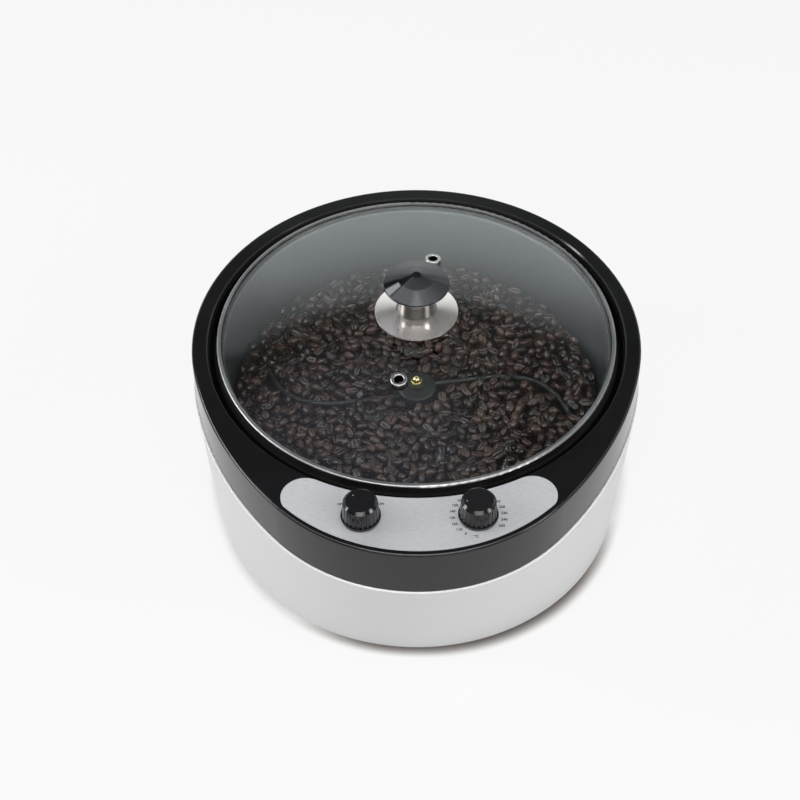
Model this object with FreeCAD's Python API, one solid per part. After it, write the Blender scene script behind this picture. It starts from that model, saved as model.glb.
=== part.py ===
"""Home coffee bean roaster, in millimetres.

A heated round pan under a lift-off glass lid, with a stirrer turned from below by a geared motor.
The casing is an oval with its narrow end at the front, where a plate carries two control knobs.
The model is laid out about the pan's axis (x = 0, y = 0) and moved by AXIS_Y when it is saved, so
that the origin is the middle of the outer box on the table: +Z up, -Y the front, +X the right.
"""

import FreeCAD, Part
import math
import os

Vector = FreeCAD.Vector
UP = Vector(0, 0, 1)

# ---------------------------------------------------------------- driving dimensions
# Fits and clearances
SLIP = 0.05            # radial running clearance of a shaft in its bore, or a screw in its thread
FIT = 0.2              # room around a part that is dropped into its place
LOOSE = 0.5            # room around a part that only has to miss its neighbour

# Lid
LID_R = 140.0          # outside of the steel rim
RIM_WALL = 0.8
RIM_BAND = 3.0         # width of the rim seen from above
RIM_H = 7.5
RIM_ROUND = 1.2
GLASS_T = 4.0
GLASS_SPHERE_R = 496.0
GLASS_SINK = 1.6       # glass edge below the top of the rim
GROMMET_RING_R = 60.6
GROMMET_ANGLES = (-102.0, 78.0)
GROMMET_R = 5.8
GROMMET_NECK_R = 4.5
GROMMET_BORE_R = 3.2
GROMMET_LIP = 1.5
GROMMET_ROUND = 0.9

# Lid knob
PAD_R = 17.0
PAD_T = 1.5
DISH_R = 28.9
DISH_RISE = 1.9        # rim of the dish above its foot
DISH_T = 0.8
DISH_FLAT_R = 19.0     # flat underside of the dish
DISH_CROWN = 5.2       # top of the dish, at the stem, above its foot
DISH_BEND_R = 23.0     # the dish falls faster from here out
DISH_BEND = 4.1        # height of that bend above the foot
DISH_BEND_ROUND = 25.0
STEM_R = 13.2
STEM_HEAD_R = 16.5
STEM_H = 25.2
STEM_FLARE_H = 8.0     # the stem widens towards the cap from here up
STEM_ROOT_ROUND = 0.8
CAP_R = 22.7
CAP_RIM = 3.0
CAP_RISE = 8.2
CAP_TIP_R = 3.0
KNOB_SCREW_R = 2.5
KNOB_SCREW_DEPTH = 14.0
KNOB_SCREW_HEAD_R = 4.8
KNOB_SCREW_HEAD_H = 3.4
INNER_PAD_R = 11.0

# Stack of heights, from the table up
HEM_Z = 6.0            # bottom edge of the outer shell
HEM_T = 1.5
BASE_T = 2.5
MOTOR_GAP = 1.8
MOTOR_H = 22.0
SPACER_H = 4.2
SHEET_T = 1.2          # steel sheet of the heat shield
HEATER_SPACE = 10.8
PAN_T = 1.5
PAN_FLOOR_T = 2.0
PAN_DEPTH = 76.5
GASKET_T = 0.8
RECESS = 5.0           # pan flange below the top face
BAND_H = 35.5          # height of the black band

# Casing outline
FLANGE_REACH = 5.3     # pan flange past the lid rim
LIP_GAP = 6.5          # dark gap between the lid rim and the lip of the casing
RING_W = 11.0          # top face at the back
FRONT_REACH = 36.1     # how much further the front stands out than the back
FLANK_START = -11.5    # wall direction in degrees (0 = +X, -90 = front) where the back arc ends
BAND_TURN = -42.6      # wall direction in degrees where the front arc starts, black band
FOOT_TURN = -20.6      # the same in degrees at the foot of the white shell
BAND_FLARE_BACK = 0.3
BAND_FLARE_FRONT = 1.4
SEAM_STEP = 1.2        # rim of the white wall that shows below the band
SEAM_ROUND = 0.7
TAPER_BACK = 6.3
TAPER_FRONT = 22.0
BAND_WALL = 3.0
SHELL_WALL = 2.0
HEM_W = 8.0
TONGUE_H = 5.0
TONGUE_T = 1.6
EDGE_ROUND = 1.6
LIP_ROUND = 1.0

# Pan and heat shield
PAN_INSET = 6.0        # pan mouth inside the lid rim
PAN_DRAFT = 2.0        # how much narrower the pan is at its floor
PAN_CORNER = 12.0
PAN_MOUTH_ROUND = 1.6
SHIELD_GAP = 2.3
SHIELD_CORNER = 8.0
SHIELD_HOLE_R = 9.0

# Heating element, bulb and cut-out
ELEMENT_RING_R = 85.0
ELEMENT_R = 3.25
ELEMENT_AIR = 0.3
ELEMENT_GAP = 20.0     # degrees left open between the two legs
ELEMENT_BEND = 8.0
ELEMENT_LEG = 11.0     # below the heat shield
ELEMENT_PIN_R = 1.5
ELEMENT_PIN = 7.0
BRACKET_W = 9.0
BRACKET_L = 8.0
BRACKET_ANGLES = (40.0, 140.0, 215.0, 325.0)
BULB_R = 3.0
BULB_L = 50.0
BULB_INSET = 12.0
BULB_CLIP_X = 15.0
BULB_CLIP_W = 6.0
CAPILLARY_R = 0.8
CAPILLARY_BEND = 10.0
CUTOUT_ANGLE = 215.0
CUTOUT_INSET = 11.8    # cut-out's centre inside the element's ring
CUTOUT_R = 8.0
CUTOUT_H = 6.5
CUTOUT_PLATE = (26.0, 11.0, 1.5)

# Motor
MOTOR_R = 25.0
MOTOR_FACE_R = 26.0
MOTOR_FACE_T = 5.5
EAR_REACH = 31.0
EAR_R = 5.0
EAR_T = 1.5
NOSE_R = 6.0
NOSE_H = 3.2
MOTOR_SCREW_R = 2.0
MOTOR_SCREW_HEAD_R = 3.8
MOTOR_SCREW_HEAD_H = 2.4
NUT_T = 3.2
NUT_FLATS = 7.0

# Shaft, hub and stirrer
SHAFT_R = 4.0
SHAFT_GRIP = 8.0       # length inside the motor
BUSH_R = 6.0
BUSH_FLANGE_R = 9.0
BUSH_FLANGE_T = 1.5
HUB_FOOT_R = 18.0
HUB_TOP_R = 14.0
HUB_FOOT_H = 9.0
HUB_H = 26.0
STUD_R = 2.5
STUD_H = 5.8
WASHER_R = 5.0
WASHER_T = 1.2
ACORN_FLATS = 8.0
ACORN_HEX_H = 4.2
ACORN_DOME_R = 3.5
WIRE_R = 1.9
WIRE_DROP = 5.0        # upper wire below the hub's top
WIRE_FLOOR = 4.5       # lower wire above the pan floor
ARM_GAP = 19.0         # outer bend of the wire to the pan's wall
ARM_TURN = -13.0       # direction of the outer bend in degrees
ARM_BEND = 7.0
# Corners of one wire, over the beans and back under them: distance out as a share of the arm's
# reach, direction in degrees, and bend radius as a share of the reach
ARM_OVER = ((0.092, 31.0, 0), (0.594, 12.0, 0.55), (0.847, 3.6, 0.33))
ARM_UNDER = ((0.748, -15.3, 0.49), (0.092, -26.6, 0))
BED_DEPTH = 25.0
BED_GAP = 0.5
TOP_BEANS = 150        # places for the beans modelled on the bed
BEAN_L = 11.0
BEAN_R = 4.2
BEAN_TIP_R = 1.8
BEAN_BODY = 4.4        # length at full width
BEAN_ROOM = 1.5        # bare bed between such a bean and the hub, the wires or the wall
GOLDEN_ANGLE = 137.508
BEAN_TURN = 77.0       # degrees from one bean's heading to the next

# Control plate, knobs and what they turn
PLATE_T = 1.0
PLATE_SINK = 0.8
PLATE_EDGE = 3.8
PLATE_LIP = 0.8
PLATE_END = 26.9       # degrees from the front where the plate's ends are centred
CONTROL_X = 37.4
CONTROL_SET = 15.5     # control centres past the lip
NECK_R = 4.9
NECK_H = 3.4
SPINDLE_R = 3.0
SPINDLE_IN = 11.0
SPINDLE_OUT = 12.0
NECK_NUT_FLATS = 13.0
NECK_NUT_T = 2.0
DIAL_R = 12.9          # outside of the skirt
DIAL_FOOT_R = 12.2     # fluted body where it meets the skirt
DIAL_TOP_R = 11.2
DIAL_H = 15.3
DIAL_SKIRT = 1.6
DIAL_CHAMFER = 1.8
DIAL_GAP = 0.6
DIAL_HOLLOW_R = 8.6
DIAL_HOLLOW_H = 4.5
FLUTES = 24
FLUTE_R = 1.0
FLUTE_DEPTH = 0.5
SWITCH_BOX = (26.0, 26.0, 20.0)
THERMOSTAT_BOX = (30.0, 26.0, 18.0)
BLADE = (4.8, 0.8, 8.0)

# Base plate, posts, feet
POST_ANGLES = (35.0, 145.0, 215.0, 325.0)
POST_SPLIT_Z = 60.0
POST_CEILING = 5.0     # plastic above a screw head
POST_SCREW_R = 2.0
POST_SCREW_BITE = 14.0
POST_HEAD_R = 3.4
POST_HEAD_H = 2.6
FOOT_BACK = (45.7, 35.0)    # wall direction in degrees, and how far inside that wall
FOOT_FRONT = (-47.1, 23.7)
FOOT_R = 12.0
FOOT_WIDE_R = 13.0
FOOT_SCREW_R = 2.0
FOOT_HEAD_R = 4.0
FOOT_HEAD_H = 2.5
FOOT_SKIN = 4.0        # rubber above the screw head
BOSS_R = 5.0
BOSS_H = 8.0
VENT_L = 46.0
VENT_W = 4.0
VENT_PITCH = 9.0
VENT_COUNT = 9

# Power inlet and terminal block
INLET_FLANGE = (49.0, 23.0, 2.0)
INLET_BODY = (27.0, 19.5, 20.0)
INLET_MOUTH = (24.0, 16.5, 17.0)
INLET_LIFT = 14.0      # inlet centre above the base plate
INLET_SCREW_X = 20.0
INLET_SCREW_R = 1.5
INLET_HEAD_R = 2.6
INLET_HEAD_H = 1.6
INLET_PIN = (2.0, 4.0, 13.0)
INLET_PIN_X = 7.0
INLET_PIN_Z = 2.0
INLET_TAG = 6.0
INLET_PAD_T = 2.5
BLOCK_FROM_FOOT = (17.0, 22.0)    # to the right of the left back foot, and in front of it
BLOCK = (36.0, 20.0, 14.0)
BLOCK_WELLS = 4
BLOCK_WELL_R = 2.0
BLOCK_WELL_H = 6.0
BLOCK_PITCH = 6.4
BLOCK_SCREW_R = 1.5
BLOCK_HEAD_R = 2.6
BLOCK_HEAD_H = 1.6

# ---------------------------------------------------------------- heights and radii that follow
BASE_Z = HEM_Z + HEM_T
BASE_TOP = BASE_Z + BASE_T
MOTOR_Z = BASE_TOP + MOTOR_GAP
MOTOR_TOP = MOTOR_Z + MOTOR_H
SHIELD_Z = MOTOR_TOP + SPACER_H
SHIELD_FLOOR = SHIELD_Z + SHEET_T
PAN_UNDER = SHIELD_FLOOR + HEATER_SPACE
PAN_FLOOR = PAN_UNDER + PAN_FLOOR_T
FLANGE_TOP = PAN_FLOOR + PAN_DEPTH
TOP_Z = FLANGE_TOP + RECESS
SEAM_Z = TOP_Z - BAND_H
RIM_TOP = FLANGE_TOP + RIM_H
LEDGE_Z = FLANGE_TOP - PAN_T - GASKET_T - SHEET_T
WALL_UNDER = TOP_Z - BAND_WALL

LIP_R = LID_R + LIP_GAP
FLANGE_R = LID_R + FLANGE_REACH
PAN_MOUTH_R = LID_R - PAN_INSET
PAN_FOOT_R = PAN_MOUTH_R - PAN_DRAFT
SHIELD_R = PAN_MOUTH_R + PAN_T + SHIELD_GAP + SHEET_T
RECESS_R = LIP_R + BAND_WALL
LEDGE_R = SHIELD_R + LOOSE

GLASS_R = LID_R - RIM_WALL - FIT
GLASS_CENTRE = RIM_TOP - GLASS_SINK - math.sqrt(GLASS_SPHERE_R ** 2 - GLASS_R ** 2)
GLASS_TOP = GLASS_CENTRE + GLASS_SPHERE_R
GLASS_UNDER = GLASS_TOP - GLASS_T
KNOB_Z = GLASS_TOP + PAD_T
CAP_Z = KNOB_Z + STEM_H

HUB_Z = PAN_FLOOR + BUSH_FLANGE_T + 2 * LOOSE
HUB_TOP = HUB_Z + HUB_H
WIRE_TOP_Z = HUB_TOP - WIRE_DROP
WIRE_LOW_Z = PAN_FLOOR + WIRE_FLOOR
BED_TOP = PAN_FLOOR + BED_DEPTH
BULB_Z = PAN_UNDER - BULB_R - FIT
BULB_Y = -(PAN_FOOT_R - PAN_CORNER - BULB_INSET)
ELEMENT_Z = PAN_UNDER - ELEMENT_R - ELEMENT_AIR
ARM_REACH = PAN_FOOT_R - ARM_GAP

CONTROL_Y = -(LIP_R + CONTROL_SET)
PLATE_Z = TOP_Z - PLATE_SINK
PLATE_TOP = PLATE_Z + PLATE_T
DIAL_Z = PLATE_TOP + DIAL_GAP
NECK_TOP = PLATE_TOP + NECK_H


class Outline:
    """Oval of four arcs: back arc about the pan's axis, two flanks and a front arc, all tangent.

    A point of it is found by the direction in which the wall faces there, so that walls drawn
    between two outlines at equal directions have no crease.
    """

    def __init__(self, back, front, turn, z):
        self.back, self.front, self.z = back, front, z
        self.turns = [turn]
        cos_start, sin_start = math.cos(math.radians(FLANK_START)), math.sin(math.radians(FLANK_START))
        cos_turn, tan_turn = math.cos(math.radians(turn)), math.tan(math.radians(turn))
        share = 1 - cos_start / cos_turn + sin_start - cos_start * tan_turn
        extra = (front - back) / share
        front_r = back + extra - extra * cos_start / cos_turn
        self.back_circle = (0.0, 0.0, back)
        self.flank_circle = (-extra * cos_start, -extra * sin_start, back + extra)
        self.front_circle = (0.0, front_r - front, front_r)

    def circle(self, direction):
        """Centre x, y and radius of the arc that faces a direction between -90 and 90."""
        if direction > FLANK_START:
            return self.back_circle
        return self.flank_circle if direction > self.turns[0] else self.front_circle


class Section:
    """Level section of the straight wall between two outlines."""

    def __init__(self, lower, upper, z):
        self.lower, self.upper, self.z = lower, upper, z
        self.turns = lower.turns + upper.turns
        self.share = (z - lower.z) / (upper.z - lower.z)

    def circle(self, direction):
        pairs = zip(self.lower.circle(direction), self.upper.circle(direction))
        return tuple(a + (b - a) * self.share for a, b in pairs)


TOP = Outline(LIP_R + RING_W, LIP_R + RING_W + FRONT_REACH, BAND_TURN, TOP_Z)
BAND_FOOT = Outline(TOP.back + BAND_FLARE_BACK, TOP.front + BAND_FLARE_FRONT, BAND_TURN, SEAM_Z)
SHELL_TOP = Outline(BAND_FOOT.back + SEAM_STEP, BAND_FOOT.front + SEAM_STEP, BAND_TURN, SEAM_Z)
SHELL_FOOT = Outline(
    SHELL_TOP.back - TAPER_BACK, SHELL_TOP.front - TAPER_FRONT, FOOT_TURN, HEM_Z
)
AXIS_Y = (SHELL_TOP.front - SHELL_TOP.back) / 2

POST_OUTER = SHELL_FOOT.back - SHELL_WALL - 2 * (FIT + LOOSE)
POST_R = (POST_OUTER - LEDGE_R - LOOSE) / 2
POST_RING_R = POST_OUTER - POST_R
INLET_Z = BASE_TOP + INLET_LIFT
INLET_POCKET = (INLET_FLANGE[0] + 2 * LOOSE, INLET_FLANGE[1] + 2 * LOOSE)
INLET_Y = math.sqrt(SHELL_FOOT.back ** 2 - (INLET_POCKET[0] / 2) ** 2) - FIT


# ---------------------------------------------------------------- helpers
def polar(radius, degrees, z=0.0):
    """Point at a radius and an angle about the pan's axis."""
    angle = math.radians(degrees)
    return Vector(radius * math.cos(angle), radius * math.sin(angle), z)


def cylinder(radius, z0, z1, x=0.0, y=0.0):
    return Part.makeCylinder(radius, z1 - z0, Vector(x, y, z0))


def tube(outer, inner, z0, z1, x=0.0, y=0.0):
    return cylinder(outer, z0, z1, x, y).cut(cylinder(inner, z0, z1, x, y))


def block(size, centre, z0):
    """Upright box of size (x, y, z) centred over a point (x, y)."""
    corner = Vector(centre[0] - size[0] / 2, centre[1] - size[1] / 2, z0)
    return Part.makeBox(size[0], size[1], size[2], corner)


def hexagon(flats, z0, z1, x=0.0, y=0.0):
    radius = flats / math.sqrt(3)
    corners = [Vector(x, y, z0) + polar(radius, 60 * i) for i in range(7)]
    return Part.Face(Part.makePolygon(corners)).extrude(UP * (z1 - z0))


def cone(r0, r1, z0, z1, x=0.0, y=0.0):
    return Part.makeCone(r0, r1, z1 - z0, Vector(x, y, z0))


def rounded_wire(corners, closed):
    """Wire through corners given as (point, radius); a corner with a radius becomes an arc."""
    count = len(corners)
    joints = []
    for i, (point, radius) in enumerate(corners):
        if radius == 0 or (not closed and i in (0, count - 1)):
            joints.append((point, None, point))
            continue
        back = (corners[i - 1][0] - point).normalize()
        ahead = (corners[(i + 1) % count][0] - point).normalize()
        half = back.getAngle(ahead) / 2
        reach = radius / math.tan(half)
        middle = point + (back + ahead).normalize() * (radius / math.sin(half) - radius)
        joints.append((point + back * reach, middle, point + ahead * reach))
    edges = []
    for i, (start, middle, end) in enumerate(joints):
        if middle is not None:
            edges.append(Part.Arc(start, middle, end).toShape())
        if closed or i + 1 < count:
            following = joints[(i + 1) % count][0]
            if end.distanceToPoint(following) > 1e-6:
                edges.append(Part.LineSegment(end, following).toShape())
    return Part.Wire(edges)


def turned(profile):
    """Solid of revolution about Z; the profile's corners are (r, z) or (r, z, radius)."""
    corners = [(Vector(p[0], 0, p[1]), p[2] if len(p) > 2 else 0) for p in profile]
    return Part.Face(rounded_wire(corners, True)).revolve(Vector(), UP, 360)


def swept(path, radius):
    """Round wire or tube of a radius along a path."""
    start = path.Edges[0].valueAt(path.Edges[0].FirstParameter)
    heading = path.Edges[0].tangentAt(path.Edges[0].FirstParameter)
    ring = Part.Wire(Part.Circle(start, heading, radius).toShape())
    return path.makePipeShell([ring], True, False)


def screw(radius, head_r, head_h, seat_z, tip_z, x=0.0, y=0.0):
    """Pan-head screw; its head lies beyond the seat, away from the tip."""
    up = 1 if tip_z > seat_z else -1
    low, high = sorted((seat_z, tip_z))
    head_low, head_high = sorted((seat_z, seat_z - up * head_h))
    return cylinder(radius, low, high, x, y).fuse(cylinder(head_r, head_low, head_high, x, y))


def oval(outline, inset=0.0, z=None, turns=()):
    """Closed wire of an outline, moved inwards by an inset and split at the given directions."""
    height = outline.z if z is None else z
    stops = sorted({*outline.turns, *turns}) + [FLANK_START]
    spans = [(-180 - stops[0], stops[0])] + list(zip(stops, stops[1:]))
    spans += [(FLANK_START, 180 - FLANK_START)]
    spans += [(180 - b, 180 - a) for a, b in reversed(list(zip(stops, stops[1:])))]
    edges = []
    for first, last in spans:
        middle = (first + last) / 2
        mirrored = middle > 90
        x, y, radius = outline.circle(180 - middle if mirrored else max(middle, -90))
        centre = Vector(-x if mirrored else x, y, height)
        ends = [centre + polar(radius - inset, angle) for angle in (first, middle, last)]
        edges.append(Part.Arc(*ends).toShape())
    return Part.Wire(edges)


def slab(outline, inset, z0, z1):
    """Straight-sided oval plate between two heights."""
    return Part.Face(oval(outline, inset, z0)).extrude(UP * (z1 - z0))


def hull(lower, upper, inset, z0=None, z1=None):
    """Solid between two outlines."""
    turns = lower.turns + upper.turns
    rings = [oval(lower, inset, z0, turns), oval(upper, inset, z1, turns)]
    return Part.makeLoft(rings, True, True)


def cut_all(body, tools):
    return body.cut(Part.makeCompound(tools))


def fuse_all(body, extras):
    """One solid from a body and what grows out of it."""
    return body.multiFuse(extras).removeSplitter()


# ---------------------------------------------------------------- casing
def post_places():
    return [polar(POST_RING_R, angle) for angle in POST_ANGLES]


def foot_places():
    places = []
    for direction, inset in (FOOT_BACK, FOOT_FRONT):
        x, y, radius = SHELL_FOOT.circle(direction)
        place = Vector(x, y, 0) + polar(radius - inset, direction)
        places += [(-place.x, place.y), (place.x, place.y)]
    return places


def control_places():
    return {"switch": (-CONTROL_X, CONTROL_Y), "thermostat": (CONTROL_X, CONTROL_Y)}


def plate_shape(grow, z0, z1):
    """Crescent of the control plate: lip circle above, front outline below, round ends."""
    inner_r = LIP_R + PLATE_LIP - grow
    crescent = slab(TOP, PLATE_EDGE - grow, z0, z1).cut(cylinder(inner_r, z0, z1))
    front_y, front_r = TOP.front_circle[1:]
    turn = math.radians(PLATE_END)
    along = -front_y * math.cos(turn)
    outer_r = along + math.sqrt((front_r - PLATE_EDGE) ** 2 - front_y ** 2 + along ** 2)
    end_r = (outer_r - LIP_R - PLATE_LIP) / 2
    ends = [polar(LIP_R + PLATE_LIP + end_r, side * PLATE_END - 90) for side in (-1, 1)]
    far = [polar(3 * TOP.front, side * PLATE_END - 90, z0) for side in (-1, 1)]
    corners = [Vector(0, 0, z0), far[0], far[1], Vector(0, 0, z0)]
    middle = Part.Face(Part.makePolygon(corners)).extrude(UP * (z1 - z0))
    rounds = [cylinder(end_r + grow, z0, z1, p.x, p.y) for p in ends]
    return crescent.common(middle.multiFuse(rounds)).removeSplitter()


def upper_shell():
    """Black top: band, top face with the round recess, ledge for the pan, posts, tongue."""
    body = hull(BAND_FOOT, TOP, 0)
    lip = [e for e in body.Edges if abs(e.CenterOfMass.z - TOP_Z) < 1e-3]
    body = body.makeFillet(EDGE_ROUND, lip)
    body = body.cut(hull(BAND_FOOT, TOP, BAND_WALL, z1=WALL_UNDER))
    body = body.fuse(cylinder(RECESS_R, LEDGE_Z - BAND_WALL, TOP_Z - LIP_ROUND))
    posts = [cylinder(POST_R, POST_SPLIT_Z, LEDGE_Z - 1, p.x, p.y) for p in post_places()]
    foot = Section(SHELL_FOOT, SHELL_TOP, SEAM_Z - TONGUE_H)
    inset = SHELL_WALL + LOOSE
    tongue = hull(foot, SHELL_TOP, inset, z1=SEAM_Z + TONGUE_T)
    tongue = tongue.cut(hull(foot, SHELL_TOP, inset + TONGUE_T, z1=SEAM_Z + TONGUE_T))
    body = fuse_all(body, posts + [tongue])
    recess = turned([
        (0, LEDGE_Z), (LIP_R, LEDGE_Z), (LIP_R, TOP_Z - LIP_ROUND), (LIP_R + LIP_ROUND, TOP_Z),
        (LIP_R + LIP_ROUND, TOP_Z + 1), (0, TOP_Z + 1),
    ])
    pilots = [
        cylinder(POST_SCREW_R + SLIP, POST_SPLIT_Z, POST_SPLIT_Z + POST_SCREW_BITE, p.x, p.y)
        for p in post_places()
    ]
    necks = [
        cylinder(NECK_R + FIT, WALL_UNDER - 1, TOP_Z, x, y) for x, y in control_places().values()
    ]
    opening = cylinder(LEDGE_R, LEDGE_Z - BAND_WALL - 1, TOP_Z)
    pocket = plate_shape(FIT, PLATE_Z, TOP_Z + 1)
    return cut_all(body, [recess, opening, pocket] + pilots + necks)


def inlet_frame(width, height, y0, y1):
    """Box behind or through the inlet's place, from y0 to y1."""
    corner = Vector(-width / 2, y0, INLET_Z - height / 2)
    return Part.makeBox(width, y1 - y0, height, corner)


def lower_shell():
    """White outer wall with an inward hem at its foot and a flat pocket for the inlet."""
    outside = hull(SHELL_FOOT, SHELL_TOP, 0)
    rim = [e for e in outside.Edges if abs(e.CenterOfMass.z - SEAM_Z) < 1e-3]
    outside = outside.makeFillet(SEAM_ROUND, rim)
    body = outside.cut(hull(SHELL_FOOT, SHELL_TOP, SHELL_WALL, z0=BASE_Z))
    body = body.cut(slab(SHELL_FOOT, SHELL_WALL + HEM_W, HEM_Z - 1, BASE_Z))
    wide, high = (size + 2 * SHELL_WALL for size in INLET_POCKET)
    pad = inlet_frame(wide, high, INLET_Y - INLET_PAD_T, SHELL_TOP.back).common(outside)
    body = fuse_all(body, [pad])
    pocket = inlet_frame(*INLET_POCKET, INLET_Y, SHELL_TOP.back + 1)
    mouth = inlet_frame(
        INLET_BODY[0] + 2 * FIT, INLET_BODY[1] + 2 * FIT, INLET_Y - INLET_PAD_T - 1, INLET_Y
    )
    pilots = [
        Part.makeCylinder(
            INLET_SCREW_R + SLIP, INLET_PAD_T + 1, Vector(x, INLET_Y - INLET_PAD_T - 1, INLET_Z),
            Vector(0, 1, 0),
        )
        for x in (-INLET_SCREW_X, INLET_SCREW_X)
    ]
    return cut_all(body, [pocket, mouth] + pilots)


def base_plate():
    """Bottom of the casing: vent slots, screw posts, and bosses for the feet."""
    body = slab(SHELL_FOOT, SHELL_WALL + 2 * FIT, BASE_Z, BASE_TOP)
    posts = [cylinder(POST_R, BASE_TOP - 1, POST_SPLIT_Z, p.x, p.y) for p in post_places()]
    bosses = [cylinder(BOSS_R, BASE_TOP - 1, BASE_TOP + BOSS_H, x, y) for x, y in foot_places()]
    body = fuse_all(body, posts + bosses)
    seat = POST_SPLIT_Z - POST_CEILING
    wells = [cylinder(POST_HEAD_R + FIT, BASE_Z - 1, seat, p.x, p.y) for p in post_places()]
    holes = [
        cylinder(POST_SCREW_R + FIT, seat - 1, POST_SPLIT_Z + 1, p.x, p.y) for p in post_places()
    ]
    pilots = [
        cylinder(FOOT_SCREW_R + SLIP, BASE_Z - 1, BASE_TOP + BOSS_H - 1, x, y)
        for x, y in foot_places()
    ]
    threads = [
        cylinder(BLOCK_SCREW_R + SLIP, BASE_Z, BASE_TOP + 1, x, y)
        for x, y in block_screw_places()
    ]
    vents = []
    for i in range(VENT_COUNT):
        y = (i - (VENT_COUNT - 1) / 2) * VENT_PITCH
        vents.append(block((VENT_L, VENT_W, BASE_T + 2), (0, y), BASE_Z - 1))
    return cut_all(body, wells + holes + pilots + threads + vents)


def post_screws():
    seat = POST_SPLIT_Z - POST_CEILING
    tip = POST_SPLIT_Z + POST_SCREW_BITE - 1
    return [screw(POST_SCREW_R, POST_HEAD_R, POST_HEAD_H, seat, tip, p.x, p.y)
            for p in post_places()]


def rubber_feet():
    feet = []
    for x, y in foot_places():
        foot = cone(FOOT_R, FOOT_WIDE_R, 0, BASE_Z, x, y)
        well = cylinder(FOOT_HEAD_R + FIT, 0, BASE_Z - FOOT_SKIN, x, y)
        feet.append(cut_all(foot, [well, cylinder(FOOT_SCREW_R + SLIP, 0, BASE_Z, x, y)]))
    return feet


def foot_screws():
    seat = BASE_Z - FOOT_SKIN
    tip = BASE_TOP + BOSS_H - 2
    return [screw(FOOT_SCREW_R, FOOT_HEAD_R, FOOT_HEAD_H, seat, tip, x, y)
            for x, y in foot_places()]


# ---------------------------------------------------------------- controls
def control_plate():
    plate = plate_shape(0, PLATE_Z, PLATE_TOP)
    holes = [cylinder(NECK_R + FIT, PLATE_Z, PLATE_TOP, x, y) for x, y in control_places().values()]
    return cut_all(plate, holes)


def control_body(size, place, blades):
    """Housing under the top wall, its threaded neck and terminal blades."""
    x, y = place
    housing = block(size, place, WALL_UNDER - size[2])
    neck = cylinder(NECK_R, WALL_UNDER - 1, NECK_TOP, x, y)
    tags = [
        block(BLADE, (x + dx, y + dy), WALL_UNDER - size[2] - BLADE[2] + 0.01) for dx, dy in blades
    ]
    body = fuse_all(housing, [neck] + tags)
    return body.cut(cylinder(SPINDLE_R + SLIP, WALL_UNDER - SPINDLE_IN, NECK_TOP, x, y))


def rotary_switch():
    return control_body(SWITCH_BOX, control_places()["switch"], [(-7, 7), (7, 7), (7, -7)])


def thermostat():
    return control_body(THERMOSTAT_BOX, control_places()["thermostat"], [(-9, 8), (9, 8)])


def neck_nuts():
    nuts = []
    for x, y in control_places().values():
        nut = hexagon(NECK_NUT_FLATS, PLATE_TOP, PLATE_TOP + NECK_NUT_T, x, y)
        nuts.append(nut.cut(cylinder(NECK_R + SLIP, PLATE_TOP, PLATE_TOP + NECK_NUT_T, x, y)))
    return nuts


def spindle(place):
    """Turning shaft from inside the housing to inside the knob."""
    low = WALL_UNDER - SPINDLE_IN + FIT
    return cylinder(SPINDLE_R, low, NECK_TOP + SPINDLE_OUT - NECK_H, *place)


def dial(place):
    """Fluted control knob on a thin skirt, hollow underneath for the nut."""
    x, y = place
    top = DIAL_Z + DIAL_H
    skirt, shoulder = DIAL_Z + DIAL_SKIRT, top - DIAL_CHAMFER
    body = turned([
        (0, DIAL_Z), (DIAL_R, DIAL_Z), (DIAL_R, skirt), (DIAL_FOOT_R, skirt),
        (DIAL_TOP_R, shoulder), (DIAL_TOP_R - DIAL_CHAMFER, top), (0, top),
    ])
    out = FLUTE_R - FLUTE_DEPTH
    flutes = []
    for i in range(FLUTES):
        low = polar(DIAL_FOOT_R + out, 360 / FLUTES * i, skirt)
        high = polar(DIAL_TOP_R + out, 360 / FLUTES * i, shoulder)
        flutes.append(Part.makeCylinder(FLUTE_R, (high - low).Length, low, high - low))
    hollow = cylinder(DIAL_HOLLOW_R, DIAL_Z - 1, DIAL_Z + DIAL_HOLLOW_H)
    bore = cylinder(SPINDLE_R + SLIP, DIAL_Z, NECK_TOP + SPINDLE_OUT - NECK_H)
    return cut_all(body, flutes + [hollow, bore]).translate(Vector(x, y, 0))


# ---------------------------------------------------------------- pan and heat
def bowl_profile(mouth_r, foot_r, floor_z, corner, wall, floor_t, flange_z, flange_t, rounding):
    """Half section of a round pan with an outward flange, its wall leaning out to the mouth."""
    return [
        (0, floor_z - floor_t), (foot_r + wall, floor_z - floor_t, corner + wall),
        (mouth_r + wall, flange_z - flange_t), (FLANGE_R, flange_z - flange_t),
        (FLANGE_R, flange_z), (mouth_r, flange_z, rounding),
        (foot_r, floor_z, corner), (0, floor_z),
    ]


def roasting_pan():
    pan = turned(bowl_profile(
        PAN_MOUTH_R, PAN_FOOT_R, PAN_FLOOR, PAN_CORNER, PAN_T, PAN_FLOOR_T, FLANGE_TOP, PAN_T,
        PAN_MOUTH_ROUND,
    ))
    return pan.cut(cylinder(BUSH_R, PAN_UNDER - 1, PAN_FLOOR + 1))


def pan_gasket():
    return tube(FLANGE_R, SHIELD_R, LEDGE_Z + SHEET_T, LEDGE_Z + SHEET_T + GASKET_T)


def pan_bush():
    """Bearing of the stirrer's shaft, flanged over the pan's hole."""
    top = PAN_FLOOR + BUSH_FLANGE_T
    body = cylinder(BUSH_R, PAN_UNDER - 2, top).fuse(cylinder(BUSH_FLANGE_R, PAN_FLOOR, top))
    return body.cut(cylinder(SHAFT_R + SLIP, PAN_UNDER - 2, top))


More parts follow.
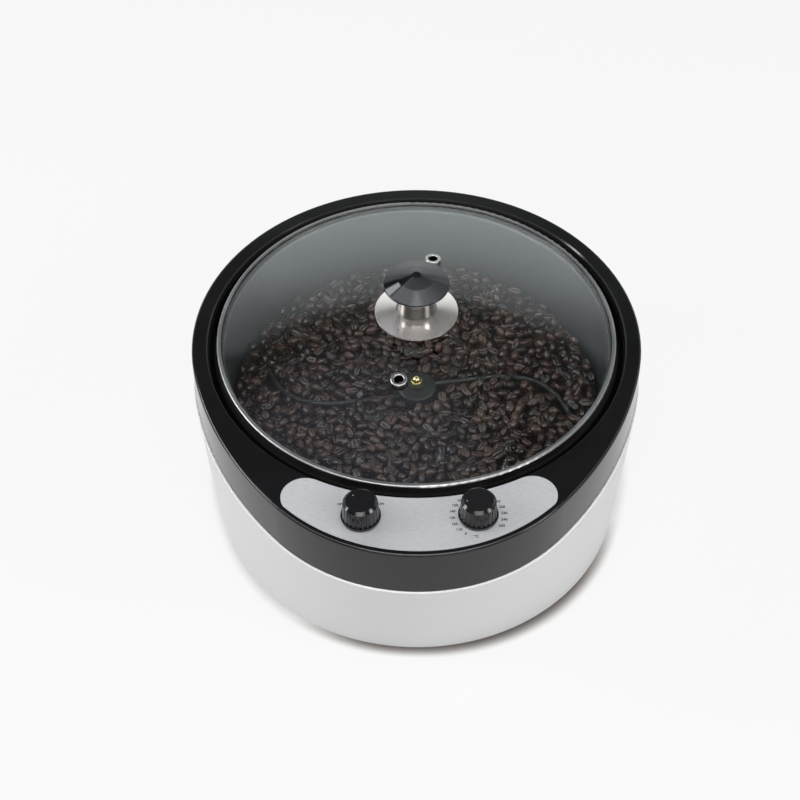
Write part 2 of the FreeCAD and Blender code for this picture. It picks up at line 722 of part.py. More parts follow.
def element_legs():
    """For each end of the ring: its angle, the way out along the ring, and the leg's place."""
    legs = []
    for side in (1, -1):
        angle = 90 + side * ELEMENT_GAP / 2
        outward = polar(1, angle - side * 90)
        legs.append((angle, outward, polar(ELEMENT_RING_R, angle) + outward * ELEMENT_BEND))
    return legs


def leg_edges(angle, outward, place):
    """Straight leg and its bend up into the ring."""
    end = polar(ELEMENT_RING_R, angle, ELEMENT_Z)
    elbow = Vector(place.x, place.y, ELEMENT_Z - ELEMENT_BEND)
    hub = Vector(end.x, end.y, ELEMENT_Z - ELEMENT_BEND)
    middle = hub + (outward + UP).normalize() * ELEMENT_BEND
    foot = Vector(place.x, place.y, SHIELD_Z - ELEMENT_LEG)
    return Part.LineSegment(foot, elbow).toShape(), Part.Arc(elbow, middle, end).toShape()


def heating_element():
    """Sheathed heater: an open ring whose ends bend down through the heat shield."""
    first, last = element_legs()
    sweep = 360 - ELEMENT_GAP
    stops = [polar(ELEMENT_RING_R, first[0] + sweep * i / 4, ELEMENT_Z) for i in range(5)]
    ring = [Part.Arc(*stops[0:3]).toShape(), Part.Arc(*stops[2:5]).toShape()]
    edges = [*leg_edges(*first), *ring, *reversed(leg_edges(*last))]
    body = swept(Part.Wire(edges), ELEMENT_R)
    top = SHIELD_Z - ELEMENT_LEG
    pins = [cylinder(ELEMENT_PIN_R, top - ELEMENT_PIN, top + 1, leg[2].x, leg[2].y)
            for leg in (first, last)]
    return body.multiFuse(pins)


def element_brackets():
    """Saddles that hold the ring on the heat shield."""
    ring = Part.makeTorus(ELEMENT_RING_R, ELEMENT_R + SLIP, Vector(0, 0, ELEMENT_Z))
    saddles = []
    for angle in BRACKET_ANGLES:
        saddle = block((BRACKET_W, BRACKET_L, ELEMENT_Z - SHIELD_FLOOR), (ELEMENT_RING_R, 0),
                       SHIELD_FLOOR)
        saddle.rotate(Vector(), UP, angle)
        saddles.append(saddle.cut(ring))
    return saddles


def capillary_path():
    top = WALL_UNDER - THERMOSTAT_BOX[2]
    corners = [
        (Vector(CONTROL_X, CONTROL_Y, top), 0),
        (Vector(CONTROL_X, CONTROL_Y, BULB_Z), CAPILLARY_BEND),
        (Vector(CONTROL_X, BULB_Y, BULB_Z), CAPILLARY_BEND / 2),
        (Vector(BULB_L / 2 - 1, BULB_Y, BULB_Z), 0),
    ]
    return rounded_wire(corners, False)


def thermostat_bulb():
    """Sensing bulb under the pan and the thin tube that joins it to the thermostat."""
    bulb = Part.makeCylinder(BULB_R, BULB_L, Vector(-BULB_L / 2, BULB_Y, BULB_Z), Vector(1, 0, 0))
    return bulb.fuse(swept(capillary_path(), CAPILLARY_R))


def bulb_clips():
    hole = Part.makeCylinder(
        BULB_R + SLIP, BULB_L, Vector(-BULB_L / 2, BULB_Y, BULB_Z), Vector(1, 0, 0)
    )
    size = (BULB_CLIP_W, BRACKET_W, BULB_Z - SHIELD_FLOOR)
    return [block(size, (x, BULB_Y), SHIELD_FLOOR).cut(hole) for x in (-BULB_CLIP_X, BULB_CLIP_X)]


def motor_ear_places():
    return [(-EAR_REACH, 0), (EAR_REACH, 0)]


def heat_shield():
    """Steel bowl around the pan; it carries the element above and the motor below."""
    inner = SHIELD_R - SHEET_T
    shield = turned(bowl_profile(
        inner, inner, SHIELD_FLOOR, SHIELD_CORNER, SHEET_T, SHEET_T, LEDGE_Z + SHEET_T, SHEET_T, 0,
    ))
    legs = [leg[2] for leg in element_legs()]
    holes = [cylinder(SHIELD_HOLE_R, SHIELD_Z - 1, SHIELD_FLOOR + 1)]
    holes += [cylinder(ELEMENT_R + FIT, SHIELD_Z - 1, SHIELD_FLOOR + 1, p.x, p.y) for p in legs]
    holes += [
        cylinder(MOTOR_SCREW_R + SLIP, SHIELD_Z - 1, SHIELD_FLOOR + 1, x, y)
        for x, y in motor_ear_places()
    ]
    holes.append(Part.makeCylinder(
        2 * CAPILLARY_R, BULB_Y - CONTROL_Y, Vector(CONTROL_X, CONTROL_Y, BULB_Z), Vector(0, 1, 0)
    ))
    return cut_all(shield, holes)


def thermal_cutout():
    """Safety switch under the heat shield."""
    place = polar(ELEMENT_RING_R - CUTOUT_INSET, CUTOUT_ANGLE)
    x, y = place.x, place.y
    wide, deep, thick = CUTOUT_PLATE
    plate = block((wide, deep, thick), (x, y), SHIELD_Z - thick)
    body = cylinder(CUTOUT_R, SHIELD_Z - CUTOUT_H - thick, SHIELD_Z, x, y)
    low = SHIELD_Z - CUTOUT_H - thick
    tags = [block((BLADE[1], BLADE[0], 5), (x + dx, y), low - 4.9) for dx in (-4, 4)]
    return fuse_all(plate, [body] + tags)


# ---------------------------------------------------------------- drive
def gear_motor():
    """Synchronous motor with its reduction gear, two ears and a bearing nose."""
    face_z = MOTOR_TOP - MOTOR_FACE_T
    parts = [cylinder(MOTOR_FACE_R, face_z, MOTOR_TOP), cylinder(NOSE_R, MOTOR_TOP - 1,
                                                                 MOTOR_TOP + NOSE_H)]
    strap = block((2 * EAR_REACH, 2 * EAR_R, EAR_T), (0, 0), MOTOR_TOP - EAR_T)
    rounds = [cylinder(EAR_R, MOTOR_TOP - EAR_T, MOTOR_TOP, x, y) for x, y in motor_ear_places()]
    body = fuse_all(cylinder(MOTOR_R, MOTOR_Z, face_z + 1), parts + [strap] + rounds)
    holes = [cylinder(MOTOR_SCREW_R + SLIP, MOTOR_TOP - EAR_T - 1, MOTOR_TOP + 1, x, y)
             for x, y in motor_ear_places()]
    bore = cylinder(SHAFT_R + SLIP, MOTOR_TOP + NOSE_H - SHAFT_GRIP, MOTOR_TOP + NOSE_H + 1)
    return cut_all(body, holes + [bore])


def motor_spacers():
    return [tube(EAR_R, MOTOR_SCREW_R + SLIP, MOTOR_TOP, SHIELD_Z, x, y)
            for x, y in motor_ear_places()]


def motor_screws():
    tip = MOTOR_TOP - EAR_T - NUT_T - 2
    return [screw(MOTOR_SCREW_R, MOTOR_SCREW_HEAD_R, MOTOR_SCREW_HEAD_H, SHIELD_FLOOR, tip, x, y)
            for x, y in motor_ear_places()]


def motor_nuts():
    top = MOTOR_TOP - EAR_T
    return [hexagon(NUT_FLATS, top - NUT_T, top, x, y).cut(
        cylinder(MOTOR_SCREW_R + SLIP, top - NUT_T, top, x, y)) for x, y in motor_ear_places()]


# ---------------------------------------------------------------- stirrer and beans
def drive_shaft():
    low = MOTOR_TOP + NOSE_H - SHAFT_GRIP + FIT
    return cylinder(SHAFT_R, low, HUB_TOP).fuse(cylinder(STUD_R, HUB_TOP - 1, HUB_TOP + STUD_H))


def hub_profile(grow):
    return [
        (0, HUB_Z - grow), (HUB_FOOT_R + grow, HUB_Z - grow),
        (HUB_FOOT_R + grow, HUB_Z + HUB_FOOT_H), (HUB_TOP_R + grow, HUB_TOP - 1),
        (HUB_TOP_R - 1 + grow, HUB_TOP), (0, HUB_TOP),
    ]


def arm_corners(stations, z):
    """Corners of the wire at one height, with their bend radii."""
    return [(polar(share * ARM_REACH, angle, z), bend * ARM_REACH) for share, angle, bend in stations]


def arm_path():
    """One arm's wire: out over the beans, down near the wall and back along the pan floor."""
    tip = [(polar(ARM_REACH, ARM_TURN, z), ARM_BEND) for z in (WIRE_TOP_Z, WIRE_LOW_Z)]
    corners = arm_corners(ARM_OVER, WIRE_TOP_Z) + tip + arm_corners(ARM_UNDER, WIRE_LOW_Z)
    return rounded_wire(corners, False)


def stirrer_arm(turn, radius=WIRE_R):
    arm = swept(arm_path(), radius)
    arm.rotate(Vector(), UP, turn)
    return arm


def stirrer_hub():
    body = turned(hub_profile(0)).cut(cylinder(SHAFT_R + SLIP, HUB_Z - 1, HUB_TOP + 1))
    return cut_all(body, [stirrer_arm(0), stirrer_arm(180)])


def hub_washer():
    return tube(WASHER_R, STUD_R + SLIP, HUB_TOP, HUB_TOP + WASHER_T)


def acorn_nut():
    low = HUB_TOP + WASHER_T
    top = low + ACORN_HEX_H
    dome = Part.makeSphere(ACORN_DOME_R, Vector(0, 0, top), UP, 0, 90, 360)
    body = hexagon(ACORN_FLATS, low, top).fuse(dome)
    return body.cut(cylinder(STUD_R + SLIP, low, HUB_TOP + STUD_H + FIT))


def lying_bean(place, turn):
    """Bean as a short barrel with tapered ends, lying in a direction."""
    body = turned([
        (0, -BEAN_L / 2), (BEAN_TIP_R, -BEAN_L / 2), (BEAN_R, -BEAN_BODY / 2),
        (BEAN_R, BEAN_BODY / 2), (BEAN_TIP_R, BEAN_L / 2), (0, BEAN_L / 2),
    ])
    body.rotate(Vector(), Vector(0, 1, 0), 90)
    body.rotate(Vector(), UP, turn)
    return body.translate(place)


def top_beans():
    """Half-sunk beans spread evenly over the bed, clear of the hub, the wires and the wall."""
    reach = BEAN_L / 2 + BEAN_ROOM
    wires = [arm_path() for _ in range(2)]
    wires[1].rotate(Vector(), UP, 180)
    beans = []
    for i in range(TOP_BEANS):
        radius = (PAN_FOOT_R - reach) * math.sqrt((i + 0.5) / TOP_BEANS)
        place = polar(radius, GOLDEN_ANGLE * i, BED_TOP)
        room = min(wire.distToShape(Part.Vertex(place))[0] for wire in wires)
        if radius > HUB_FOOT_R + reach and room > WIRE_R + reach:
            beans.append(lying_bean(place, BEAN_TURN * i))
    return beans


def bean_charge():
    """The beans as one bed with some of the topmost shaped, and room for hub and wires."""
    foot_r = PAN_FOOT_R - BED_GAP
    bed = turned([
        (0, PAN_FLOOR + BED_GAP), (foot_r, PAN_FLOOR + BED_GAP, PAN_CORNER - BED_GAP),
        (foot_r, BED_TOP), (0, BED_TOP),
    ])
    bed = fuse_all(bed, top_beans())
    hub = turned(hub_profile(BED_GAP))
    bush = cylinder(BUSH_FLANGE_R + BED_GAP, PAN_FLOOR, HUB_Z)
    wires = [stirrer_arm(turn, WIRE_R + FIT) for turn in (0, 180)]
    return cut_all(bed, [hub, bush] + wires)


# ---------------------------------------------------------------- lid
def sphere_height(radius, r):
    return GLASS_CENTRE + math.sqrt(radius ** 2 - r ** 2)


def tilted(shape, angle):
    """Shape built at the dome's top, moved down the dome to a grommet's place."""
    lean = math.degrees(math.asin(GROMMET_RING_R / GLASS_SPHERE_R))
    across = polar(1, angle + 90)
    moved = shape.copy()
    moved.rotate(Vector(0, 0, GLASS_CENTRE), across, lean)
    return moved


def lid_glass():
    """Tempered glass dome with a hole for the knob and two for the vents."""
    under_r = GLASS_SPHERE_R - GLASS_T
    half = GLASS_R / 2
    corners = [
        Vector(0, 0, GLASS_UNDER), Vector(GLASS_R, 0, sphere_height(under_r, GLASS_R)),
        Vector(GLASS_R, 0, sphere_height(GLASS_SPHERE_R, GLASS_R)), Vector(0, 0, GLASS_TOP),
    ]
    section = Part.Wire([
        Part.Arc(corners[0], Vector(half, 0, sphere_height(under_r, half)), corners[1]).toShape(),
        Part.LineSegment(corners[1], corners[2]).toShape(),
        Part.Arc(
            corners[2], Vector(half, 0, sphere_height(GLASS_SPHERE_R, half)), corners[3]
        ).toShape(),
        Part.LineSegment(corners[3], corners[0]).toShape(),
    ])
    dome = Part.Face(section).revolve(Vector(), UP, 360)
    hole = cylinder(GROMMET_NECK_R + SLIP, GLASS_UNDER - 2, GLASS_TOP + 2)
    knob_hole = cylinder(KNOB_SCREW_R + FIT, GLASS_UNDER - 2, GLASS_TOP + 2)
    return cut_all(dome, [knob_hole] + [tilted(hole, angle) for angle in GROMMET_ANGLES])


def lid_rim():
    """Steel channel around the glass edge; it stands on the pan's flange."""
    inner = LID_R - RIM_BAND
    channel = GLASS_R + FIT
    lip_under = sphere_height(GLASS_SPHERE_R, inner) + FIT
    lip_over = sphere_height(GLASS_SPHERE_R - GLASS_T, GLASS_R) - SLIP
    return turned([
        (inner, FLANGE_TOP), (LID_R, FLANGE_TOP), (LID_R, RIM_TOP, RIM_ROUND), (inner, RIM_TOP),
        (inner, lip_under), (channel, lip_under), (channel, lip_over), (inner, lip_over),
    ])


def vent_grommets():
    """Flanged steam vents through the glass."""
    low, high = GLASS_UNDER, GLASS_TOP
    eyelet = turned([
        (GROMMET_BORE_R, low - GROMMET_LIP), (GROMMET_R, low - GROMMET_LIP),
        (GROMMET_R, low - SLIP), (GROMMET_NECK_R, low - SLIP), (GROMMET_NECK_R, high + SLIP),
        (GROMMET_R, high + SLIP), (GROMMET_R, high + GROMMET_LIP, GROMMET_ROUND),
        (GROMMET_BORE_R, high + GROMMET_LIP, GROMMET_ROUND),
    ])
    return [tilted(eyelet, angle) for angle in GROMMET_ANGLES]


def knob_pad():
    return tube(PAD_R, KNOB_SCREW_R + FIT, GLASS_TOP, KNOB_Z)


def knob_stem():
    """Crowned steel dish and stem of the lid knob in one; the stem widens under the cap."""
    profile = [
        (0, KNOB_Z), (DISH_FLAT_R, KNOB_Z), (DISH_R, KNOB_Z + DISH_RISE - DISH_T),
        (DISH_R, KNOB_Z + DISH_RISE), (DISH_BEND_R, KNOB_Z + DISH_BEND, DISH_BEND_ROUND),
        (STEM_R, KNOB_Z + DISH_CROWN, STEM_ROOT_ROUND),
        (STEM_R, CAP_Z - STEM_FLARE_H, STEM_FLARE_H), (STEM_HEAD_R, CAP_Z), (0, CAP_Z),
    ]
    return turned(profile).cut(cylinder(KNOB_SCREW_R + SLIP, KNOB_Z, KNOB_Z + KNOB_SCREW_DEPTH))


def knob_cap():
    """Black cap: a low cone with a thin rim."""
    rim_top = CAP_Z + CAP_RIM
    return turned([
        (0, CAP_Z), (STEM_HEAD_R + 2, CAP_Z), (CAP_R, rim_top - 1.2, 0.6), (CAP_R, rim_top, 0.8),
        (CAP_R * 0.55, rim_top + CAP_RISE * 0.56, 14), (CAP_TIP_R, rim_top + CAP_RISE, 2.4),
        (0, rim_top + CAP_RISE),
    ])


def inner_pad_seat():
    """Height of the glass's underside at the edge of the inner pad."""
    return sphere_height(GLASS_SPHERE_R - GLASS_T, INNER_PAD_R)


def knob_inner_pad():
    seat = inner_pad_seat()
    return tube(INNER_PAD_R, KNOB_SCREW_R + FIT, seat - PAD_T, seat)


def knob_screw():
    seat = inner_pad_seat() - PAD_T
    return screw(KNOB_SCREW_R, KNOB_SCREW_HEAD_R, KNOB_SCREW_HEAD_H, seat,
                 KNOB_Z + KNOB_SCREW_DEPTH - 1)


# ---------------------------------------------------------------- power
def power_inlet():
    """Three-pin appliance inlet set into the flat pocket at the back."""
    flange = inlet_frame(INLET_FLANGE[0], INLET_FLANGE[1], INLET_Y, INLET_Y + INLET_FLANGE[2])
    housing = inlet_frame(INLET_BODY[0], INLET_BODY[1], INLET_Y - INLET_BODY[2], INLET_Y + 1)
    body = fuse_all(flange, [housing])
    face = INLET_Y + INLET_FLANGE[2]
    cavity = inlet_frame(INLET_MOUTH[0], INLET_MOUTH[1], face - INLET_MOUTH[2], face + 1)
    rear = INLET_Y - INLET_BODY[2]
    slots = [
        Part.makeBox(INLET_PIN[0], INLET_MOUTH[2], INLET_PIN[1],
                     Vector(x - INLET_PIN[0] / 2, rear - 1, z - INLET_PIN[1] / 2))
        for x, z in inlet_pin_places()
    ]
    holes = [
        Part.makeCylinder(INLET_SCREW_R + SLIP, INLET_FLANGE[2] + 2,
                          Vector(x, INLET_Y - 1, INLET_Z), Vector(0, 1, 0))
        for x in (-INLET_SCREW_X, INLET_SCREW_X)
    ]
    return cut_all(body, [cavity] + slots + holes)


def inlet_pin_places():
    """Live and neutral side by side, earth above between them."""
    return [(-INLET_PIN_X, INLET_Z - INLET_PIN_Z), (INLET_PIN_X, INLET_Z - INLET_PIN_Z),
            (0, INLET_Z + INLET_PIN_Z)]


def inlet_pins():
    floor = INLET_Y + INLET_FLANGE[2] - INLET_MOUTH[2]
    tail = INLET_Y - INLET_BODY[2] - INLET_TAG
    return [
        Part.makeBox(INLET_PIN[0], floor + INLET_PIN[2] - tail, INLET_PIN[1],
                     Vector(x - INLET_PIN[0] / 2, tail, z - INLET_PIN[1] / 2))
        for x, z in inlet_pin_places()
    ]


def inlet_screws():
    face = INLET_Y + INLET_FLANGE[2]
    back = Vector(0, -1, 0)
    screws = []
    for x in (-INLET_SCREW_X, INLET_SCREW_X):
        shank = Part.makeCylinder(INLET_SCREW_R, INLET_FLANGE[2] + INLET_PAD_T,
                                  Vector(x, face, INLET_Z), back)
        head = Part.makeCylinder(INLET_HEAD_R, INLET_HEAD_H,
                                 Vector(x, face + INLET_HEAD_H, INLET_Z), back)
        screws.append(shank.fuse(head))
    return screws


def block_place():
    """Centre of the terminal block on the base plate."""
    x, y = foot_places()[0]
    return x + BLOCK_FROM_FOOT[0], y - BLOCK_FROM_FOOT[1]


def block_screw_places():
    x, y = block_place()
    reach = BLOCK[0] / 2 - BLOCK_SCREW_R * 2
    return [(x - reach, y), (x + reach, y)]


def terminal_block():
    """Screw terminals on the base plate where the inner wires meet."""
    x, y = block_place()
    body = block(BLOCK, (x, y), BASE_TOP)
    top = BASE_TOP + BLOCK[2]
    wells = [
        cylinder(BLOCK_WELL_R, top - BLOCK_WELL_H, top, x + (i - (BLOCK_WELLS - 1) / 2) * BLOCK_PITCH, y)
        for i in range(BLOCK_WELLS)
    ]
    holes = [cylinder(BLOCK_SCREW_R + SLIP, BASE_TOP, top, *place) for place in block_screw_places()]
    return cut_all(body, wells + holes)


def block_screws():
    top = BASE_TOP + BLOCK[2]
    return [screw(BLOCK_SCREW_R, BLOCK_HEAD_R, BLOCK_HEAD_H, top, BASE_Z + FIT, *place)
            for place in block_screw_places()]


# ---------------------------------------------------------------- all nodes
PLACES = control_places()
NODES = {
    "lower_shell": lower_shell(),
    "upper_shell": upper_shell(),
    "base_plate": base_plate(),
    "post_screws": post_screws(),
    "rubber_feet": rubber_feet(),
    "foot_screws": foot_screws(),
    "control_plate": control_plate(),
    "rotary_switch": rotary_switch(),
    "thermostat": thermostat(),
    "neck_nuts": neck_nuts(),
    "roasting_pan": roasting_pan(),
    "pan_gasket": pan_gasket(),
    "pan_bush": pan_bush(),
    "heat_shield": heat_shield(),
    "heating_element": heating_element(),
    "element_brackets": element_brackets(),
    "thermostat_bulb": thermostat_bulb(),
    "bulb_clips": bulb_clips(),
    "thermal_cutout": thermal_cutout(),
    "gear_motor": gear_motor(),
    "motor_spacers": motor_spacers(),
    "motor_screws": motor_screws(),
    "motor_nuts": motor_nuts(),
    "power_inlet": power_inlet(),
    "inlet_pins": inlet_pins(),
    "inlet_screws": inlet_screws(),
    "terminal_block": terminal_block(),
    "block_screws": block_screws(),
    "drive_shaft": drive_shaft(),
    "stirrer_hub": stirrer_hub(),
    "stirrer_arm_right": stirrer_arm(0),
    "stirrer_arm_left": stirrer_arm(180),
    "hub_washer": hub_washer(),
    "acorn_nut": acorn_nut(),
    "bean_charge": bean_charge(),
    "switch_spindle": spindle(PLACES["switch"]),
    "switch_dial": dial(PLACES["switch"]),
    "thermostat_spindle": spindle(PLACES["thermostat"]),
    "thermostat_dial": dial(PLACES["thermostat"]),
    "lid_glass": lid_glass(),
    "lid_rim": lid_rim(),
    "vent_grommets": vent_grommets(),
    "knob_pad": knob_pad(),
    "knob_stem": knob_stem(),
    "knob_cap": knob_cap(),
    "knob_inner_pad": knob_inner_pad(),
    "knob_screw": knob_screw(),
}

os.makedirs("parts", exist_ok=True)
for name, made in NODES.items():
    shape = Part.makeCompound(made) if isinstance(made, list) else made
    shape.translate(Vector(0, AXIS_Y, 0))
    shape.exportStep(f"parts/{name}.step")
    box = shape.BoundBox
    print(f"{name:20s} solids {len(shape.Solids)} valid {shape.isValid()} "
          f"volume {shape.Volume / 1000:8.2f} cm3  z {box.ZMin:7.2f} to {box.ZMax:7.2f}")
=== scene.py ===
# %% [markdown]
# # A home coffee bean roaster
#
# The roaster is a heated round pan in an oval casing, with a glass lid that lifts off and a wire
# stirrer that pushes the beans round. Its solids are already made and stand in one fixed frame.
# This lesson gives them their surfaces, fills the pan with beans, and prints the control plate.

# %% Load the fixed frame
import math

import bmesh
import bpy
from mathutils import Matrix, Vector


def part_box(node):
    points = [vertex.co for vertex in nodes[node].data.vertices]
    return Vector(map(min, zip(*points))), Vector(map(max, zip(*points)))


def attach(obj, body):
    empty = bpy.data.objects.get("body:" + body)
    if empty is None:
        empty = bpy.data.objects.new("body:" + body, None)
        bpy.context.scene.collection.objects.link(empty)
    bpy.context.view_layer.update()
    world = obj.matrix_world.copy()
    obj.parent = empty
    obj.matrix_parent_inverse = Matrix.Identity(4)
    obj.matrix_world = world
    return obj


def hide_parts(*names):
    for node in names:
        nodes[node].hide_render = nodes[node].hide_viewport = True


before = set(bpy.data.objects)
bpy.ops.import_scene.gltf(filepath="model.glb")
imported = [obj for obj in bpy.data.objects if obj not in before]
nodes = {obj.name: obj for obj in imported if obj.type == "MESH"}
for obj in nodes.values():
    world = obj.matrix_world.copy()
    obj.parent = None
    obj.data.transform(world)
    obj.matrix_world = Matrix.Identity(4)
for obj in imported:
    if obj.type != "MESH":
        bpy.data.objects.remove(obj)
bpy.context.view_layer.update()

MM = 0.001

# %% [markdown]
# ## Where things are
#
# Nothing is measured twice: the pan's axis, the rim's top and the plate's face are read from the
# boxes of the solids. Small sizes are in millimetres times MM, because Blender works in metres.

# %% Read the main places
rim_low, rim_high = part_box("lid_rim")
AXIS = Vector(((rim_low.x + rim_high.x) / 2, (rim_low.y + rim_high.y) / 2, 0))
RIM_R = rim_high.x - AXIS.x
bed_low, bed_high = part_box("bean_charge")
BED_LOW, BED_R = bed_low.z, bed_high.x - AXIS.x
SOLID_RELIEF = 2.2 * MM  # the solid bed stands up this far above the level of the loose beans
BEAN_LEVEL = bed_high.z - SOLID_RELIEF
PLATE_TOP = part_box("control_plate")[1].z
print("axis at", [round(v, 4) for v in AXIS], "bed radius", round(BED_R, 4))
print("bean level", round(BEAN_LEVEL, 4), "plate's face at", round(PLATE_TOP, 4))

# %% [markdown]
# ## The camera
#
# A product picture of something one looks down into is taken from well above the front, here 45
# degrees up and an arm's length and a half away. The camera looks at the middle of the lid's rim,
# and a small shift of the frame sets the roaster a little above the middle.

# %% Place the camera
CAMERA_DISTANCE = 1.2
CAMERA_RISE = math.radians(45.28)
CAMERA_TURN = math.radians(0.69)
LENS_LENGTH = 76.94             # in millimetres, as a lens is named
FRAME_SHIFT = (-0.0206, -0.0843)


def add_object(name, data):
    """A new object at the origin, linked to the scene."""
    made = bpy.data.objects.new(name, data)
    bpy.context.scene.collection.objects.link(made)
    return made


level = CAMERA_DISTANCE * math.cos(CAMERA_RISE)
aim = Vector((AXIS.x, AXIS.y, rim_high.z))
eye = aim + Vector((
    -level * math.sin(CAMERA_TURN), -level * math.cos(CAMERA_TURN), CAMERA_DISTANCE * math.sin(CAMERA_RISE)
))
lens = bpy.data.cameras.new("camera")
lens.lens = LENS_LENGTH
lens.shift_x, lens.shift_y = FRAME_SHIFT
camera = add_object("camera", lens)
camera.location = eye
camera.rotation_euler = (aim - eye).to_track_quat("-Z", "Y").to_euler()
bpy.context.scene.camera = camera
bpy.context.scene.view_settings.view_transform = "Standard"
print("camera at", [round(v, 3) for v in eye])

# %% [markdown]
# ## Small helpers for node trees
#
# Materials, lights and growing shapes are all node trees. `put` adds one node, sets its options
# and fills its inputs, each with a plain value or with the socket that feeds it. `new_group` makes
# an empty group with named sockets, so that one effect can serve many materials. The helpers after
# them are the sums and mixes that come back in many trees.

# %% Node helpers
def socket_in(node, key):
    """An input found by place, or by name among those in use."""
    if isinstance(key, int):
        return node.inputs[key]
    return next(socket for socket in node.inputs if socket.enabled and socket.name == key)


def put(tree, kind, inputs=None, **options):
    """Add a node, set its options, and fill or feed its inputs."""
    node = tree.nodes.new(kind)
    for option, value in options.items():
        setattr(node, option, value)
    for key, value in (inputs or {}).items():
        socket = socket_in(node, key)
        if isinstance(value, bpy.types.NodeSocket):
            tree.links.new(value, socket)
        else:
            socket.default_value = value
    return node


def out(node, name=None):
    """The first output in use, or the one with a name."""
    return next(s for s in node.outputs if s.enabled and (name is None or s.name == name))


def new_group(name, kind, inputs, outputs):
    """An empty group, with the nodes that stand for its inputs and its outputs."""
    group = bpy.data.node_groups.new(name, kind)
    for label, socket_type, value in inputs:
        socket = group.interface.new_socket(label, in_out="INPUT", socket_type="NodeSocket" + socket_type)
        if value is not None:
            socket.default_value = value
    for label, socket_type in outputs:
        group.interface.new_socket(label, in_out="OUTPUT", socket_type="NodeSocket" + socket_type)
    return group, group.nodes.new("NodeGroupInput"), group.nodes.new("NodeGroupOutput")


def blank_tree(owner):
    """The empty node tree of a material or a world."""
    owner.use_nodes = True
    owner.node_tree.nodes.clear()
    return owner.node_tree


# %% Sums and mixes
def calc(tree, operation, a, b=0.0):
    return out(put(tree, "ShaderNodeMath", {0: a, 1: b}, operation=operation))


def calc_vector(tree, operation, a, b=None):
    """Vector maths; a length or a dot product comes out as a plain number."""
    second = "Scale" if operation == "SCALE" else 1
    inputs = {0: a} if b is None else {0: a, second: b}
    return out(put(tree, "ShaderNodeVectorMath", inputs, operation=operation))


def split(tree, vector):
    """The X, Y and Z of a vector."""
    xyz = put(tree, "ShaderNodeSeparateXYZ", {0: vector})
    return [out(xyz, label) for label in "XYZ"]


def flat_length(tree, x, y):
    """The length of a level vector."""
    return calc(tree, "SQRT", calc(tree, "ADD", calc(tree, "MULTIPLY", x, x), calc(tree, "MULTIPLY", y, y)))


def stretch(tree, value, start, end, low=0.0, high=1.0, **options):
    """Low at the start, high at the end, and even between."""
    return out(put(tree, "ShaderNodeMapRange", {
        "Value": value, "From Min": start, "From Max": end, "To Min": low, "To Max": high,
    }, **options))


def mix(tree, factor, a, b, kind="RGBA", **options):
    """From a to b, as the factor goes from 0 to 1."""
    return out(put(tree, "ShaderNodeMix", {"Factor": factor, "A": a, "B": b}, data_type=kind, **options))


def mix_shader(tree, factor, a, b):
    return out(put(tree, "ShaderNodeMixShader", {0: factor, 1: a, 2: b}))


# %% [markdown]
# ## The studio
#
# The roaster stands on a pale floor in a dark room. Its glossy black top, its steel and its glass
# show what is around them, so the room matters as much as the lamps. Low down it is white all
# round. Behind the roaster hangs a tall white backdrop, and the lid mirrors it as the pale veil at
# its back; beside the backdrop the room is dark. High up, a little to the left and back, a faint
# bluish glow stands for a window. Mirrors see that room, while the camera sees plain white and
# diffuse surfaces an even pale sky.

# %% The room seen in reflections
def seen_directly(tree):
    """1 for a ray that has met only mirrors and glass since the camera, else 0."""
    path = put(tree, "ShaderNodeLightPath")
    direct = calc(tree, "MAXIMUM", out(path, "Is Camera Ray"), out(path, "Is Glossy Ray"))
    direct = calc(tree, "MAXIMUM", direct, out(path, "Is Transmission Ray"))
    clean = calc(tree, "LESS_THAN", out(path, "Diffuse Depth"), 0.5)
    return calc(tree, "MULTIPLY", direct, clean)


def ramp(tree, value, stops):
    """A colour ramp through (place, level), where a level is a grey or a colour."""
    node = put(tree, "ShaderNodeValToRGB", {"Fac": value})
    band = node.color_ramp
    for place, _ in stops[2:]:
        band.elements.new(place)
    for element, (place, level) in zip(band.elements, sorted(stops)):
        element.position = place
        element.color = (*([level] * 3), 1) if isinstance(level, float) else (*level, 1)
    return out(node)


def soft_step(tree, value, start, end):
    """0 before the start, 1 after the end, smooth between."""
    return stretch(tree, value, start, end, interpolation_type="SMOOTHSTEP")


# %% The sheet and the small lamp overhead
# Each has the leans between which it starts, its level, and its levels round the room.
SHEET = (0.338, 0.354), 2.3, (
    (0.097, 0.0), (0.105, 1.0), (0.30, 1.0), (0.41, 0.45), (0.47, 0.30), (0.52, 0.0),
)
GLINT = (0.385, 0.392), 6.5, ((0.038, 0.0), (0.046, 1.0), (0.088, 1.0), (0.094, 0.0))
FAR_LEAN = (0.64, 0.53)
SHEET_TINT = (0.97, 1.0, 1.05)


def canopy(tree, towards):
    """A bright sheet overhead with one small lamp at its left end, for faces steeper than the lid.

    Both are laid out by the lean of the face that mirrors them to the camera: half way between the
    direction and the camera. The sheet starts at a lean of 20 degrees, and the lamp at 23.
    """
    to_camera = (eye - aim).normalized()
    face = calc_vector(tree, "NORMALIZE", calc_vector(tree, "ADD", towards, to_camera))
    x, y, _ = split(tree, face)
    lean = flat_length(tree, x, y)
    bearing = calc(tree, "ADD", calc(tree, "DIVIDE", calc(tree, "ARCTAN2", y, x), 2 * math.pi), 0.5)
    glows = []
    for start, level, sector in (SHEET, GLINT):
        patch = calc(tree, "MULTIPLY", soft_step(tree, lean, *start), ramp(tree, bearing, sector))
        glows.append(calc(tree, "MULTIPLY", patch, level))
    both = calc(tree, "MULTIPLY", calc(tree, "ADD", *glows), soft_step(tree, lean, *FAR_LEAN))
    return calc_vector(tree, "SCALE", SHEET_TINT, both)


